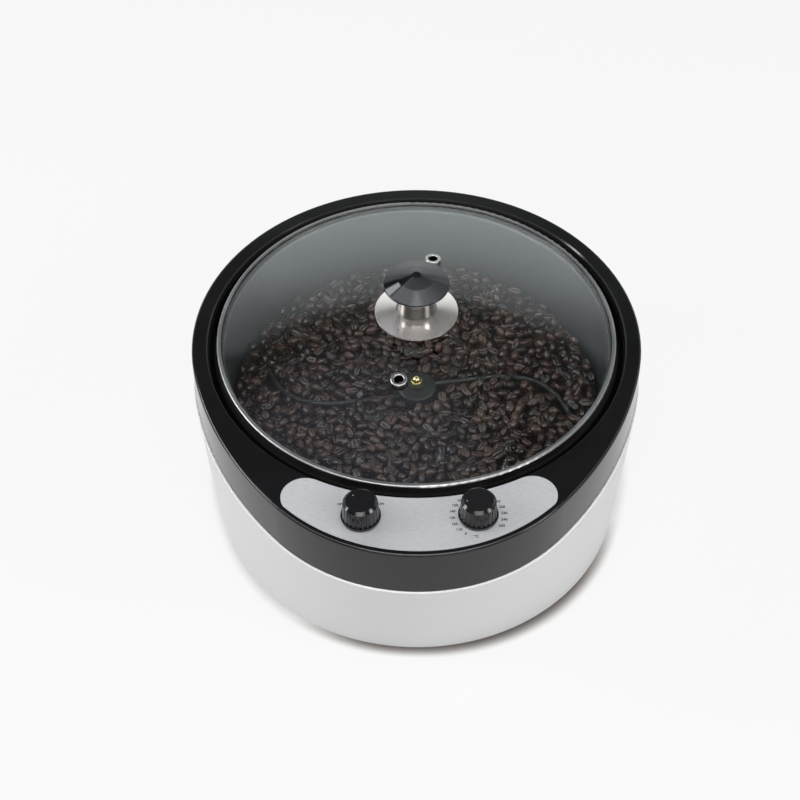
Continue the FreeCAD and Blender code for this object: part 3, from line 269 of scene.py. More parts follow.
for what, (start, level, _) in (("sheet", SHEET), ("small lamp", GLINT)):
    print(what, "starts at a lean of", round(math.degrees(math.asin(start[0])), 1), "degrees, level", level)

# %% The walls of the room
BACKDROP_TINT = (0.94, 1.0, 1.02)
BACKDROP_LEVELS = (
    (0.0, 1.0), (0.16, 1.05), (0.26, 1.25), (0.40, 1.25), (0.48, 1.1), (0.55, 0.85), (0.62, 0.60),
    (0.65, 0.22), (0.68, 0.10),
)
BACKDROP_HALF = 0.78            # half width against distance behind
BACKDROP_RIGHT = 0.045          # its middle lies a little to the right
BACKDROP_FADE = (-0.38, -0.10)  # where it darkens towards its side edges
BACKDROP_EDGE_LOSS = 0.3        # how much darker it is there
SIDES_START, SIDES_RISE = (-0.03, 0.05), (0.20, 0.30)
DARK_SIDES = (0.06, 0.06, 0.06, 1)
WINDOW_AT, WINDOW_SPREAD, WINDOW_LEVEL = (-0.226, 0.19, 0.955), (0.87, 0.98), 0.20
BLUISH = (0.74, 0.80, 1.0)


def tinted(level, tint):
    """A grey level as a colour."""
    return tuple(level * share for share in tint)


def mirrored_room(tree):
    """What a mirror sees in each direction."""
    towards = out(put(tree, "ShaderNodeTexCoord"), "Generated")
    x, y, z = split(tree, towards)
    backdrop = ramp(tree, z, [(rise, tinted(level, BACKDROP_TINT)) for rise, level in BACKDROP_LEVELS])
    off_middle = calc(tree, "ABSOLUTE", calc(tree, "SUBTRACT", x, BACKDROP_RIGHT))
    beside = calc(tree, "SUBTRACT", off_middle, calc(tree, "MULTIPLY", y, BACKDROP_HALF))
    lost = calc(tree, "MULTIPLY", soft_step(tree, beside, *BACKDROP_FADE), BACKDROP_EDGE_LOSS)
    backdrop = calc_vector(tree, "SCALE", backdrop, calc(tree, "SUBTRACT", 1.0, lost))
    dark = calc(tree, "MULTIPLY", soft_step(tree, beside, *SIDES_START), soft_step(tree, z, *SIDES_RISE))
    walls = mix(tree, dark, backdrop, DARK_SIDES)
    near = calc_vector(tree, "DOT_PRODUCT", towards, Vector(WINDOW_AT).normalized())
    window = ramp(tree, soft_step(tree, near, *WINDOW_SPREAD), [
        (0.0, 0.0), (1.0, tinted(WINDOW_LEVEL, BLUISH)),
    ])
    return calc_vector(tree, "ADD", walls, calc_vector(tree, "ADD", window, canopy(tree, towards)))


print("backdrop brightest at", max(level for _, level in BACKDROP_LEVELS), "and the sides at", DARK_SIDES[0])

# %% Build the room
PLAIN_WHITE = (0.956, 0.956, 0.956, 1)
SKY, SKY_LEVEL = (0.97, 0.985, 1, 1), 0.33

world = bpy.data.worlds.new("white_room")
room = blank_tree(world)
mirrored = put(room, "ShaderNodeBackground", {"Color": mirrored_room(room)})
straight = put(room, "ShaderNodeBackground", {"Color": PLAIN_WHITE})
sky = put(room, "ShaderNodeBackground", {"Color": SKY, "Strength": SKY_LEVEL})
glossy = out(put(room, "ShaderNodeLightPath"), "Is Glossy Ray")
seen = mix_shader(room, glossy, out(straight), out(mirrored))
put(room, "ShaderNodeOutputWorld", {"Surface": mix_shader(room, seen_directly(room), out(sky), seen)})
bpy.context.scene.world = world
print("room: white backdrop behind, dark beside it,", len(room.nodes), "nodes")

# %% [markdown]
# ## Lamps
#
# Gloss shows lamps as bright shapes, so each lamp is placed by the shape it should leave. Softboxes
# at the left, right and front each put one bright patch on the bevel of a control knob. A panel hangs
# level overhead, a little in front, where the lid does not mirror it.

# %% Place the lamps
SOFTBOXES = {
    # name: (place, width, height, how bright its face is)
    "left_softbox": ((-1.62, -0.02, 0.92), 0.55, 0.55, 10.0),
    "right_softbox": ((1.45, -0.68, 1.11), 0.55, 0.50, 8.0),
    "front_softbox": ((0.0, -1.47, 1.17), 1.6, 0.10, 8.5),
}
PANEL = ((0.09, -0.62, 2.0), 1.34, 1.10, 2.5)
LAMP_TARGET = Vector((0, 0, 0.12))


def add_lamp(name, place, width, height, brightness, rotation):
    """A lit rectangle whose face keeps its brightness at any size."""
    light = bpy.data.lights.new(name, "AREA")
    light.shape = "RECTANGLE"
    light.size, light.size_y = width, height
    light.energy = brightness * math.pi * width * height
    lamp = add_object(name, light)
    lamp.location, lamp.rotation_euler = place, rotation
    lamp.visible_camera = False


for name, (place, width, height, brightness) in SOFTBOXES.items():
    aimed = (LAMP_TARGET - Vector(place)).to_track_quat("-Z", "Y").to_euler()
    add_lamp(name, place, width, height, brightness, aimed)
add_lamp("front_panel", *PANEL, (0, 0, 0))
print("lamps:", ", ".join([*SOFTBOXES, "front_panel"]))

# %% [markdown]
# ## The floor
#
# White paper under a product keeps only a thin dark line and a soft brownish edge where the casing
# stands over it. Ambient occlusion measures just that: how much of the space near a point is
# blocked. Its direction leans to the left and back, so the edge is widest at the right and front.
# A mask along the floor keeps the shadow full at the front and the back, and fainter beside the
# flanks that lean outwards.

# %% Lay the floor
FLOOR_R = 6                     # in metres
ROUND = 96                      # sides of a large circle


def plain_mesh(name, shape, *materials):
    """A mesh from what a bmesh holds; the bmesh is freed."""
    mesh = bpy.data.meshes.new(name)
    shape.to_mesh(mesh)
    shape.free()
    for material in materials:
        mesh.materials.append(material)
    return mesh


paper = bpy.data.materials.new("floor_paper")
shape = bmesh.new()
bmesh.ops.create_circle(shape, cap_ends=True, segments=ROUND, radius=FLOOR_R)
floor = add_object("floor", plain_mesh("floor", shape, paper))
print("floor radius:", FLOOR_R, "m")

# %% Paper with a contact shadow
SHADOW_REACH = 8.0 * MM, 10.5 * MM  # up to the middle, and at the right
SHADOW_GROWS = 0.0, 0.1             # between these two places the reach grows
SHADOW_LEAN = (-0.42, 0.20, 0.88)
SHADOW_TOWARDS, SHADOW_ENDS = (0.35, -0.94, 0), (0.062, 0.135)
FLANK_SHADOW = 0.3
PAPER_SHADOW = [
    (0.42, (0.03, 0.024, 0.021)), (0.60, (0.10, 0.083, 0.074)), (0.76, (0.33, 0.305, 0.29)),
    (0.91, (0.80, 0.79, 0.775)), (1.0, 1.0),
]
WHITE, PAPER = (1, 1, 1, 1), (0.82, 0.82, 0.82, 1)
DIM_PAPER, PAPER_GLOW = (0.13, 0.13, 0.13, 1), 0.84  # seen directly, the paper mostly glows

tree = blank_tree(paper)
spot = out(put(tree, "ShaderNodeTexCoord"), "Object")
near = put(tree, "ShaderNodeAmbientOcclusion", {
    "Distance": stretch(tree, split(tree, spot)[0], *SHADOW_GROWS, *SHADOW_REACH),
    "Normal": Vector(SHADOW_LEAN).normalized(),
}, samples=16)
along = calc(tree, "ABSOLUTE", calc_vector(tree, "DOT_PRODUCT", spot, SHADOW_TOWARDS))
strength = calc(tree, "MAXIMUM", soft_step(tree, along, *SHADOW_ENDS), FLANK_SHADOW)
shade = mix(tree, strength, WHITE, ramp(tree, out(near, "AO"), PAPER_SHADOW))
plain = put(tree, "ShaderNodeBsdfDiffuse", {"Color": PAPER})
dim = put(tree, "ShaderNodeBsdfDiffuse", {"Color": DIM_PAPER})
glow = put(tree, "ShaderNodeEmission", {"Color": shade, "Strength": PAPER_GLOW})
bright = put(tree, "ShaderNodeAddShader", {0: out(dim), 1: out(glow)})
put(tree, "ShaderNodeOutputMaterial", {
    "Surface": mix_shader(tree, seen_directly(tree), out(plain), out(bright)),
})
print("shadow reach:", [round(reach / MM, 1) for reach in SHADOW_REACH], "mm")

# %% [markdown]
# ## Shared surface effects
#
# Real finishes are never one flat value. Moulded plastic has a fine grain and a gloss that varies
# where hands and cloths have been; drawn and turned steel has fine lines. Each effect is a group
# that gives a mask and, apart from the smudges, a normal. Each material sets its own scale and depth.

# %% Places on a piece
def object_place(tree, centre=(0, 0, 0), scale=(1, 1, 1)):
    """A point of a piece, counted from a centre and scaled."""
    place = out(put(tree, "ShaderNodeTexCoord"), "Object")
    return calc_vector(tree, "MULTIPLY", calc_vector(tree, "SUBTRACT", place, centre), scale)


def from_axis(tree):
    """Distance from the pan's axis, and the height."""
    x, y, z = split(tree, object_place(tree, centre=AXIS))
    return flat_length(tree, x, y), z


# %% Grain, smudges and lines
SMUDGE_SCALE = 14.0
SMUDGE_SPREAD, STREAK_SPREAD = (0.36, 0.66), (0.34, 0.66)  # noise levels that become 0 and 1
MASK_AND_NORMAL = [("Mask", "Float"), ("Normal", "Vector")]


def noise(tree, vector, inputs, **options):
    """The level of a cloudy pattern at a place."""
    return out(put(tree, "ShaderNodeTexNoise", {"Vector": vector, **inputs}, **options), "Fac")


def give_out(group, given, result, height, mask):
    """End a group with its mask, and with the normal that a height makes at the group's depth."""
    bump = put(group, "ShaderNodeBump", {"Distance": out(given, "Depth"), "Height": height})
    group.links.new(mask, result.inputs["Mask"])
    group.links.new(out(bump), result.inputs["Normal"])
    return group


def make_grain():
    group, given, result = new_group(
        "surface_grain", "ShaderNodeTree",
        [("Scale", "Float", 1500.0), ("Depth", "Float", 0.02 * MM)], MASK_AND_NORMAL,
    )
    grain = noise(group, object_place(group), {
        "Scale": out(given, "Scale"), "Detail": 2.0, "Roughness": 0.6,
    })
    return give_out(group, given, result, grain, grain)


def make_smudges():
    group, given, result = new_group(
        "handling_smudges", "ShaderNodeTree", [("Scale", "Float", SMUDGE_SCALE)], [("Mask", "Float")]
    )
    cloud = noise(group, object_place(group), {
        "Scale": out(given, "Scale"), "Detail": 5.0, "Roughness": 0.62, "Distortion": 0.6,
    })
    group.links.new(stretch(group, cloud, *SMUDGE_SPREAD), result.inputs["Mask"])
    return group


def make_brushed():
    """Straight lines along X, as a belt leaves them."""
    group, given, result = new_group(
        "brushed_lines", "ShaderNodeTree", [("Depth", "Float", 0.01 * MM)], MASK_AND_NORMAL
    )
    drawn_out = object_place(group, scale=(240, 2400, 2400))
    lines = noise(group, drawn_out, {"Scale": 1.0, "Detail": 3.0})
    return give_out(group, given, result, lines, stretch(group, lines, *STREAK_SPREAD))


def make_turned():
    """Fine rings about the pan's axis, as a lathe leaves them."""
    group, given, result = new_group(
        "turned_rings", "ShaderNodeTree", [("Depth", "Float", 0.01 * MM), ("Fineness", "Float", 1800.0)],
        MASK_AND_NORMAL,
    )
    radius, height = from_axis(group)
    section = out(put(group, "ShaderNodeCombineXYZ", {"X": radius, "Y": height}))
    rings = noise(group, section, {"Scale": out(given, "Fineness"), "Detail": 2.0}, noise_dimensions="2D")
    return give_out(group, given, result, rings, rings)


GRAIN, SMUDGES, BRUSHED, TURNED = make_grain(), make_smudges(), make_brushed(), make_turned()
print("effects:", ", ".join(g.name for g in (GRAIN, SMUDGES, BRUSHED, TURNED)))

# %% [markdown]
# ## Materials
#
# Every finish starts as a Principled BSDF whose plain values say what the stuff is, and the
# effects then vary its colour, gloss and surface. `finish` does that for most of them: a mask from
# the smudges moves the colour and the roughness between two values.

# %% The common recipe
FINISHES = {}


def fill_group(tree, group, values):
    node = put(tree, "ShaderNodeGroup", node_tree=group)
    for label, value in values.items():
        node.inputs[label].default_value = value
    return node


def between(tree, mask, low, high):
    """A value, or a colour, that goes from low to high with a mask."""
    if isinstance(low, tuple):
        return mix(tree, mask, (*low, 1), (*high, 1))
    return stretch(tree, mask, 0.0, 1.0, low, high)


def new_material(name, plain):
    """A material with plain values on its Principled BSDF; returns it, its tree and the shader."""
    material = bpy.data.materials.new("finish_" + name)
    material.use_nodes = True
    shader = material.node_tree.nodes["Principled BSDF"]
    for label, value in plain.items():
        shader.inputs[label].default_value = value
    return material, material.node_tree, shader


def finish(name, colours, roughness, effect, values, plain=None, streaked=False):
    """Colour and gloss go between two values with the smudges, or the colour with the effect's mask."""
    material, tree, shader = new_material(name, plain or {})
    smudges = out(fill_group(tree, SMUDGES, {"Scale": SMUDGE_SCALE}), "Mask")
    surface = fill_group(tree, effect, values)
    mask = out(surface, "Mask") if streaked else smudges
    tree.links.new(between(tree, mask, *colours), shader.inputs["Base Color"])
    tree.links.new(between(tree, smudges, *roughness), shader.inputs["Roughness"])
    tree.links.new(out(surface, "Normal"), shader.inputs["Normal"])
    return material


def add_finishes(recipes):
    """Each recipe has two colours, two roughnesses, an effect with its values, and plain values."""
    for slot, recipe in recipes.items():
        FINISHES[slot] = finish(slot, *recipe)
    print("finishes:", ", ".join(recipes))


# %% Plastics and rubber
add_finishes({
    "shell_white": (
        ((0.76, 0.76, 0.755), (0.785, 0.785, 0.78)), (0.30, 0.40), GRAIN,
        {"Scale": 1400.0, "Depth": 0.012 * MM}, {"IOR": 1.5},
    ),
    "band_black": (
        ((0.0055, 0.0055, 0.006), (0.0075, 0.0075, 0.008)), (0.10, 0.17), GRAIN,
        {"Scale": 900.0, "Depth": 0.002 * MM}, {"IOR": 1.5},
    ),
    "base_black": (
        ((0.016, 0.016, 0.017), (0.022, 0.022, 0.023)), (0.42, 0.55), GRAIN,
        {"Scale": 1100.0, "Depth": 0.03 * MM},
    ),
    "dial_black": (
        ((0.010, 0.010, 0.011), (0.014, 0.014, 0.015)), (0.13, 0.18), GRAIN,
        {"Scale": 1500.0, "Depth": 0.003 * MM},
    ),
    "cap_black": (
        ((0.008, 0.008, 0.009), (0.011, 0.011, 0.012)), (0.07, 0.13), GRAIN,
        {"Scale": 700.0, "Depth": 0.002 * MM},
    ),
    "silicone_black": (
        ((0.014, 0.014, 0.014), (0.020, 0.020, 0.020)), (0.55, 0.7), GRAIN,
        {"Scale": 1300.0, "Depth": 0.02 * MM},
    ),
    "foot_rubber": (
        ((0.018, 0.017, 0.017), (0.032, 0.031, 0.030)), (0.7, 0.85), GRAIN,
        {"Scale": 1000.0, "Depth": 0.04 * MM},
    ),
    "block_white": (
        ((0.70, 0.69, 0.65), (0.76, 0.75, 0.72)), (0.4, 0.5), GRAIN,
        {"Scale": 1200.0, "Depth": 0.02 * MM},
    ),
})

# %% Metals
add_finishes({
    "plate_silver": (
        ((0.62, 0.62, 0.635), (0.73, 0.73, 0.745)), (0.42, 0.5), BRUSHED,
        {"Depth": 0.01 * MM}, {"Metallic": 0.5}, True,
    ),
    "rim_steel": (
        ((0.36, 0.355, 0.35), (0.42, 0.415, 0.41)), (0.30, 0.38), TURNED,
        {"Depth": 0.0002 * MM, "Fineness": 900.0}, {"Metallic": 1.0},
    ),
    "knob_steel": (
        ((0.87, 0.82, 0.78), (0.93, 0.88, 0.84)), (0.18, 0.22), TURNED,
        {"Depth": 0.001 * MM, "Fineness": 1500.0},
        {"Metallic": 0.82, "Anisotropic": 0.5, "Anisotropic Rotation": 0.25},
    ),
    "sheet_steel": (
        ((0.52, 0.51, 0.50), (0.62, 0.61, 0.60)), (0.28, 0.42), GRAIN,
        {"Scale": 500.0, "Depth": 0.01 * MM}, {"Metallic": 1.0},
    ),
    "screw_steel": (
        ((0.50, 0.50, 0.51), (0.60, 0.60, 0.61)), (0.22, 0.35), GRAIN,
        {"Scale": 900.0, "Depth": 0.01 * MM}, {"Metallic": 1.0},
    ),
    "element_sheath": (
        ((0.05, 0.045, 0.042), (0.10, 0.085, 0.07)), (0.45, 0.6), GRAIN,
        {"Scale": 700.0, "Depth": 0.02 * MM}, {"Metallic": 1.0},
    ),
    "copper_tube": (
        ((0.62, 0.30, 0.18), (0.75, 0.38, 0.24)), (0.22, 0.38), GRAIN,
        {"Scale": 600.0, "Depth": 0.01 * MM}, {"Metallic": 1.0},
    ),
    "brass": (
        ((0.70, 0.62, 0.30), (0.80, 0.72, 0.38)), (0.16, 0.26), GRAIN,
        {"Scale": 600.0, "Depth": 0.004 * MM}, {"Metallic": 1.0},
    ),
    "motor_can": (
        ((0.42, 0.42, 0.43), (0.54, 0.54, 0.55)), (0.3, 0.42), GRAIN,
        {"Scale": 500.0, "Depth": 0.01 * MM}, {"Metallic": 1.0},
    ),
    "stirrer_dark": (
        ((0.022, 0.023, 0.021), (0.036, 0.037, 0.034)), (0.42, 0.55), GRAIN,
        {"Scale": 900.0, "Depth": 0.01 * MM}, {"Metallic": 0.4},
    ),
    "pan_coating": (
        ((0.022, 0.026, 0.028), (0.032, 0.037, 0.039)), (0.32, 0.45), TURNED,
        {"Depth": 0.003 * MM, "Fineness": 500.0},
    ),
})

# %% [markdown]
# A lathe leaves rings about the axis, and they spread a highlight across themselves: on a disc into
# rays from the middle, on a stem into upright bands. Anisotropy does that along a tangent. The
# tangent here runs round the axis, and the quarter turn set on the shader points the spread outwards.

# %% Turn the grain of the lid knob's steel
tree = FINISHES["knob_steel"].node_tree
tangent = put(tree, "ShaderNodeTangent", direction_type="RADIAL", axis="Z")
tree.links.new(out(tangent), tree.nodes["Principled BSDF"].inputs["Tangent"])
print("the knob's highlights spread outwards from its axis")

# %% [markdown]
# Some round pieces change their finish at a radius or a height. The lid knob's stem, inside its brushed
# dish, is plain steel painted darker as shade, and the dish was spun to an even slope. The pan's
# flange outside the lid's rim is painted a dull near black as shade in the recess. The lip of the black
# recess and the top edge of the white wall have painted highlights: a lighter colour draws both edges
# as thin lines.

# %% Masks by place
def band_mask(tree, value, low, high):
    """1 between two values, else 0."""
    above, below = calc(tree, "GREATER_THAN", value, low), calc(tree, "LESS_THAN", value, high)
    return calc(tree, "MULTIPLY", above, below)


def blend(tree, mask, label, value):
    """Where the mask is 1, put a colour or a socket in place of what feeds the shader."""
    socket = tree.nodes["Principled BSDF"].inputs[label]
    tree.links.new(mix(tree, mask, socket.links[0].from_socket, value, socket.type), socket)


def blend_shader(tree, mask, other):
    """Show another shader where the mask is 1."""
    surface = tree.nodes["Material Output"].inputs["Surface"]
    tree.links.new(mix_shader(tree, mask, surface.links[0].from_socket, out(other)), surface)


# %% Finish the lid knob's dish and stem
STEM_EDGE, DISH_EDGE, DISH_SLOPE = 14 * MM, 28.95 * MM, math.radians(12)
FACES_UP = 0.8                  # upright part of a normal above which a face belongs to the dish
STEM_SHADE = (0.19, 0.184, 0.176, 1)


def even_slope(tree, slope):
    """The normal of a cone about the pan's axis that falls outwards."""
    outward = calc_vector(tree, "NORMALIZE", object_place(tree, centre=AXIS, scale=(1, 1, 0)))
    lean = calc_vector(tree, "SCALE", outward, math.sin(slope))
    return calc_vector(tree, "ADD", lean, (0, 0, math.cos(slope)))


tree = FINISHES["knob_steel"].node_tree
radius = from_axis(tree)[0]
up = split(tree, out(put(tree, "ShaderNodeNewGeometry"), "Normal"))[2]
in_dish = band_mask(tree, radius, STEM_EDGE, DISH_EDGE)
on_dish = calc(tree, "MULTIPLY", in_dish, calc(tree, "GREATER_THAN", up, FACES_UP))
blend(tree, on_dish, "Normal", even_slope(tree, DISH_SLOPE))
# Painted shade: the stem inside the dish is a much darker plain steel than the dish itself.
shaded = put(tree, "ShaderNodeBsdfPrincipled", {
    "Base Color": STEM_SHADE, "Metallic": 1.0, "Roughness": 0.30,
})
blend_shader(tree, calc(tree, "LESS_THAN", radius, STEM_EDGE), shaded)
print("stem polished inside", round(STEM_EDGE / MM, 1), "mm, dish even to", round(DISH_EDGE / MM, 1), "mm")

# %% Finish the edges round the lid and the wall
FLANGE_EDGE, FLANGE_SEAT = RIM_R - 0.3 * MM, 2.2 * MM
FLANGE_SHADES = (0.003, 0.003, 0.003), (0.014, 0.014, 0.014)  # beyond the seat, and on it
LIP_R, LIP_IN, LIP_OUT = RIM_R + 6.5 * MM, 0.3 * MM, 0.9 * MM
WALL_TOP, WALL_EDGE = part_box("lower_shell")[1].z, 1.2 * MM
LIP_HIGHLIGHT = (0.035, 0.035, 0.035, 1)

# Painted shade: the flange beyond the lid's rim is a dull near black, less dark on the seat by the rim.
tree = FINISHES["pan_coating"].node_tree
radius = from_axis(tree)[0]
on_seat = calc(tree, "LESS_THAN", radius, FLANGE_EDGE + FLANGE_SEAT)
recess_shade = put(tree, "ShaderNodeBsdfDiffuse", {"Color": between(tree, on_seat, *FLANGE_SHADES)})
blend_shader(tree, calc(tree, "GREATER_THAN", radius, FLANGE_EDGE), recess_shade)

# Painted highlight: a lighter ring of colour on the rounded lip of the black recess.
tree = FINISHES["band_black"].node_tree
lip = band_mask(tree, from_axis(tree)[0], LIP_R - LIP_IN, LIP_R + LIP_OUT)
blend(tree, lip, "Base Color", LIP_HIGHLIGHT)

# Painted highlight: pure white along the top edge of the white wall, under the black band.
tree = FINISHES["shell_white"].node_tree
edge = calc(tree, "GREATER_THAN", from_axis(tree)[1], WALL_TOP - WALL_EDGE)
blend(tree, edge, "Base Color", WHITE)
print("lip at", round(LIP_R / MM, 1), "mm, wall's top edge at", round(WALL_TOP / MM, 1), "mm")

# %% [markdown]
# ## Glass
#
# The lid is tempered glass 4 mm thick. Clear glass bends the view, mirrors the room more the
# flatter one looks at it, and still has to let the lamps through to the beans. A path tracer finds
# lamps with straight shadow rays, which glass would stop, so for those rays alone the glass is
# swapped for a plain see-through shader with its slight grey tint.

# %% Make the glass
def glass():
    material, tree, _ = new_material("lid_glass", {
        "Base Color": (0.95, 0.972, 0.968, 1), "Roughness": 0.0, "IOR": 1.5, "Transmission Weight": 1.0,
    })
    clear = put(tree, "ShaderNodeBsdfTransparent", {"Color": (0.88, 0.9, 0.9, 1)})
    blend_shader(tree, out(put(tree, "ShaderNodeLightPath"), "Is Shadow Ray"), clear)
    return material


FINISHES["lid_glass"] = glass()
print("glass: clear to shadow rays")

# %% [markdown]
# ## Roasted beans
#
# A dark roasted bean is nearly black-brown with a slight oily sheen, and no two have quite the same
# colour. Each bean carries its own number between 0 and 1 in an attribute called `tone`, and
# a second attribute, `crease`, is 1 in the furrow of its flat side. Both reach the material, which
# paints the furrow near black as shade.

# %% Bean material
DARK_BEAN, LIGHT_BEAN = (0.007, 0.004, 0.003), (0.064, 0.034, 0.024)
MOTTLE = (0.3, 0.3, 0.3), (1.8, 1.8, 1.8)  # the colour is multiplied by a value between these
# Painted shade: the furrow of each bean is darkened to near black.
CREASE_SHADE = (0.004, 0.003, 0.0025, 1)
BEAN_ROUGHNESS, WRINKLE_DEPTH = (0.12, 0.36), 0.16 * MM


def bean_finish():
    material, tree, shader = new_material("roasted_bean", {"IOR": 1.48})
    tone = out(put(tree, "ShaderNodeAttribute", attribute_name="tone"), "Fac")
    crease = out(put(tree, "ShaderNodeAttribute", attribute_name="crease"), "Fac")
    mottle = noise(tree, object_place(tree), {"Scale": 420.0, "Detail": 3.0})
    skin = between(tree, tone, DARK_BEAN, LIGHT_BEAN)
    skin = mix(tree, 1.0, skin, between(tree, mottle, *MOTTLE), blend_type="MULTIPLY")
    tree.links.new(mix(tree, crease, skin, CREASE_SHADE), shader.inputs["Base Color"])
    tree.links.new(between(tree, mottle, *BEAN_ROUGHNESS), shader.inputs["Roughness"])
    wrinkle = put(tree, "ShaderNodeBump", {"Distance": WRINKLE_DEPTH, "Height": mottle})
    tree.links.new(out(wrinkle), shader.inputs["Normal"])
    return material


FINISHES["roasted_bean"] = bean_finish()
print("bean wrinkles:", round(WRINKLE_DEPTH / MM, 2), "mm deep")

# %% [markdown]
# ## The vents
#
# A vent is a short steel tube through the glass, painted near black inside and below the glass as
# shade in its bore. Its own axis points at the centre of the sphere that the dome is part of, so
# a point's distance from that line tells the inside, and its distance from the centre tells how deep it lies.

# %% Vent finish
DOME_R, VENT_INSIDE, VENT_DEPTH = 496 * MM, 3.25 * MM, 0.3 * MM
VENT_STEEL_AND_SHADE, VENT_ROUGHNESS = ((0.46, 0.45, 0.44), (0.006, 0.006, 0.006)), (0.24, 0.8)


def vent_finish():
    material, tree, shader = new_material("vent_steel", {"Metallic": 1.0})
    centre = Vector((AXIS.x, AXIS.y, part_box("lid_glass")[1].z - DOME_R))
    from_centre = object_place(tree, centre=centre)
    rings = [v.co for v in nodes["vent_grommets"].data.vertices]
    from_line = []
    for side in (-1, 1):
        vent = [place for place in rings if (place.y - AXIS.y) * side > 0]
        line = (sum(vent, Vector()) / len(vent) - centre).normalized()
        from_line.append(calc_vector(tree, "LENGTH", calc_vector(tree, "CROSS_PRODUCT", from_centre, line)))
    # Painted shade: inside the bore and below the glass the steel is near black and rough.
    inside = calc(tree, "LESS_THAN", calc(tree, "MINIMUM", *from_line), VENT_INSIDE)
    deep = calc(tree, "LESS_THAN", calc_vector(tree, "LENGTH", from_centre), DOME_R - VENT_DEPTH)
    black = calc(tree, "MAXIMUM", inside, deep)
    tree.links.new(between(tree, black, *VENT_STEEL_AND_SHADE), shader.inputs["Base Color"])
    tree.links.new(between(tree, black, *VENT_ROUGHNESS), shader.inputs["Roughness"])
    return material


# %% Give every solid its finish
OWN_FINISH = {"vent_grommets": vent_finish(), "hub_washer": FINISHES["stirrer_dark"]}

for name, node in nodes.items():
    for slot in node.material_slots:
        slot.material = OWN_FINISH.get(name, FINISHES[slot.material.name])
print("solids finished:", len(nodes))

# %% [markdown]
# ## One bean
#
# A bean is a half egg: round on its back, nearly flat on its belly, with a furrow from end to end.
# It is made as rings along its length. The section of each ring has the round back and, below,
# two lips with the furrow between them. With 11 points a ring it stays light enough to repeat.

# %% Build the bean
BEAN_L, BEAN_W, BEAN_H = 9.8 * MM, 6.8 * MM, 4.6 * MM
BEAN_RINGS = 6
BLUNTNESS = 0.44                # below 0.5, which is an ellipse, the ends are blunter
BACK_RISE, END_RISE = 0.78, 0.1
BELLY = ((0.62, -0.20), (0.16, -0.22), (0.0, -0.02), (-0.16, -0.22), (-0.62, -0.20))


def bean_section():
    """Points round one section as (across, up) shares of the half width and the height."""
    turns = [math.radians(angle) for angle in range(0, 181, 36)]
    return [(math.cos(turn), BACK_RISE * math.sin(turn)) for turn in turns] + [(-x, z) for x, z in BELLY]


def around(count):
    """Pairs of neighbours round a ring: (0, 1), (1, 2) and so on, back to 0."""
    return [(i, (i + 1) % count) for i in range(count)]


def bean_mesh(name):
    shape = bmesh.new()
    crease = shape.verts.layers.float.new("crease")
    section = bean_section()
    rings = []
    for i in range(BEAN_RINGS):
        along = -math.cos(math.pi * (i + 1) / (BEAN_RINGS + 1))
        size = (1 - along * along) ** BLUNTNESS
        ring = []
        for across, up in section:
            vert = shape.verts.new((along * BEAN_L / 2, across * size * BEAN_W / 2, up * size * BEAN_H))
            vert[crease] = 1.0 if across == 0 and up < 0 else 0.0
            ring.append(vert)
        rings.append(ring)
    ends = [shape.verts.new((side * BEAN_L / 2, 0, END_RISE * BEAN_H)) for side in (-1, 1)]
    for low, high in zip(rings, rings[1:]):
        for i, j in around(len(section)):
            shape.faces.new((low[i], low[j], high[j], high[i]))
    for end, ring in zip(ends, (rings[0], rings[-1])):
        for i, j in around(len(section)):
            shape.faces.new((end, ring[i], ring[j]))
    bmesh.ops.recalc_face_normals(shape, faces=shape.faces)
    for face in shape.faces:
        face.smooth = True
    return plain_mesh(name, shape)


bean = add_object("bean_pattern", bean_mesh("bean_pattern"))
print("one bean:", len(bean.data.polygons), "faces")

# %% [markdown]
# ## A pan full of beans
#
# Beans repeat by the hundred and lie at random, which is work for Geometry Nodes. One tree
# scatters points over a disc so that no two are closer than a set spacing, clears the points that
# the stirrer's wire would hit, turns a bean on each, and joins them to one mesh. Beans next to the
# wall lie along it, because they can't stick through it. Three layers, one over another, fill the
# pan to its level, and a plain dark bed closes the gaps under them.

# %% The tree that spreads beans
LAYER_INPUTS = [
    ("Geometry", "Geometry", None), ("Bean", "Object", None), ("Wires", "Object", None),
    ("Spacing", "Float", 8 * MM), ("Clearance", "Float", 3 * MM), ("Tilt", "Float", 0.4),
    ("Unevenness", "Float", 1 * MM), ("Wall", "Float", 0.12), ("Seed", "Int", 1),
    ("Material", "Material", None),
]
CROWDING = 6.0                  # points tried in a square as wide as the spacing
WALL_LOOSENESS = 0.06           # share of a full turn by which beans at the wall differ
PITCH, BEAN_SCALE = (-0.7, 0.7), (0.86, 1.1)


def random_value(tree, low, high, seed, step=0.0):
    """A random number for each point; each step from the seed gives other numbers."""
    moved = calc(tree, "ADD", seed, step) if step else seed
    return out(put(tree, "FunctionNodeRandomValue", {
        "Min": low, "Max": high, "Seed": moved,
    }, data_type="FLOAT"))


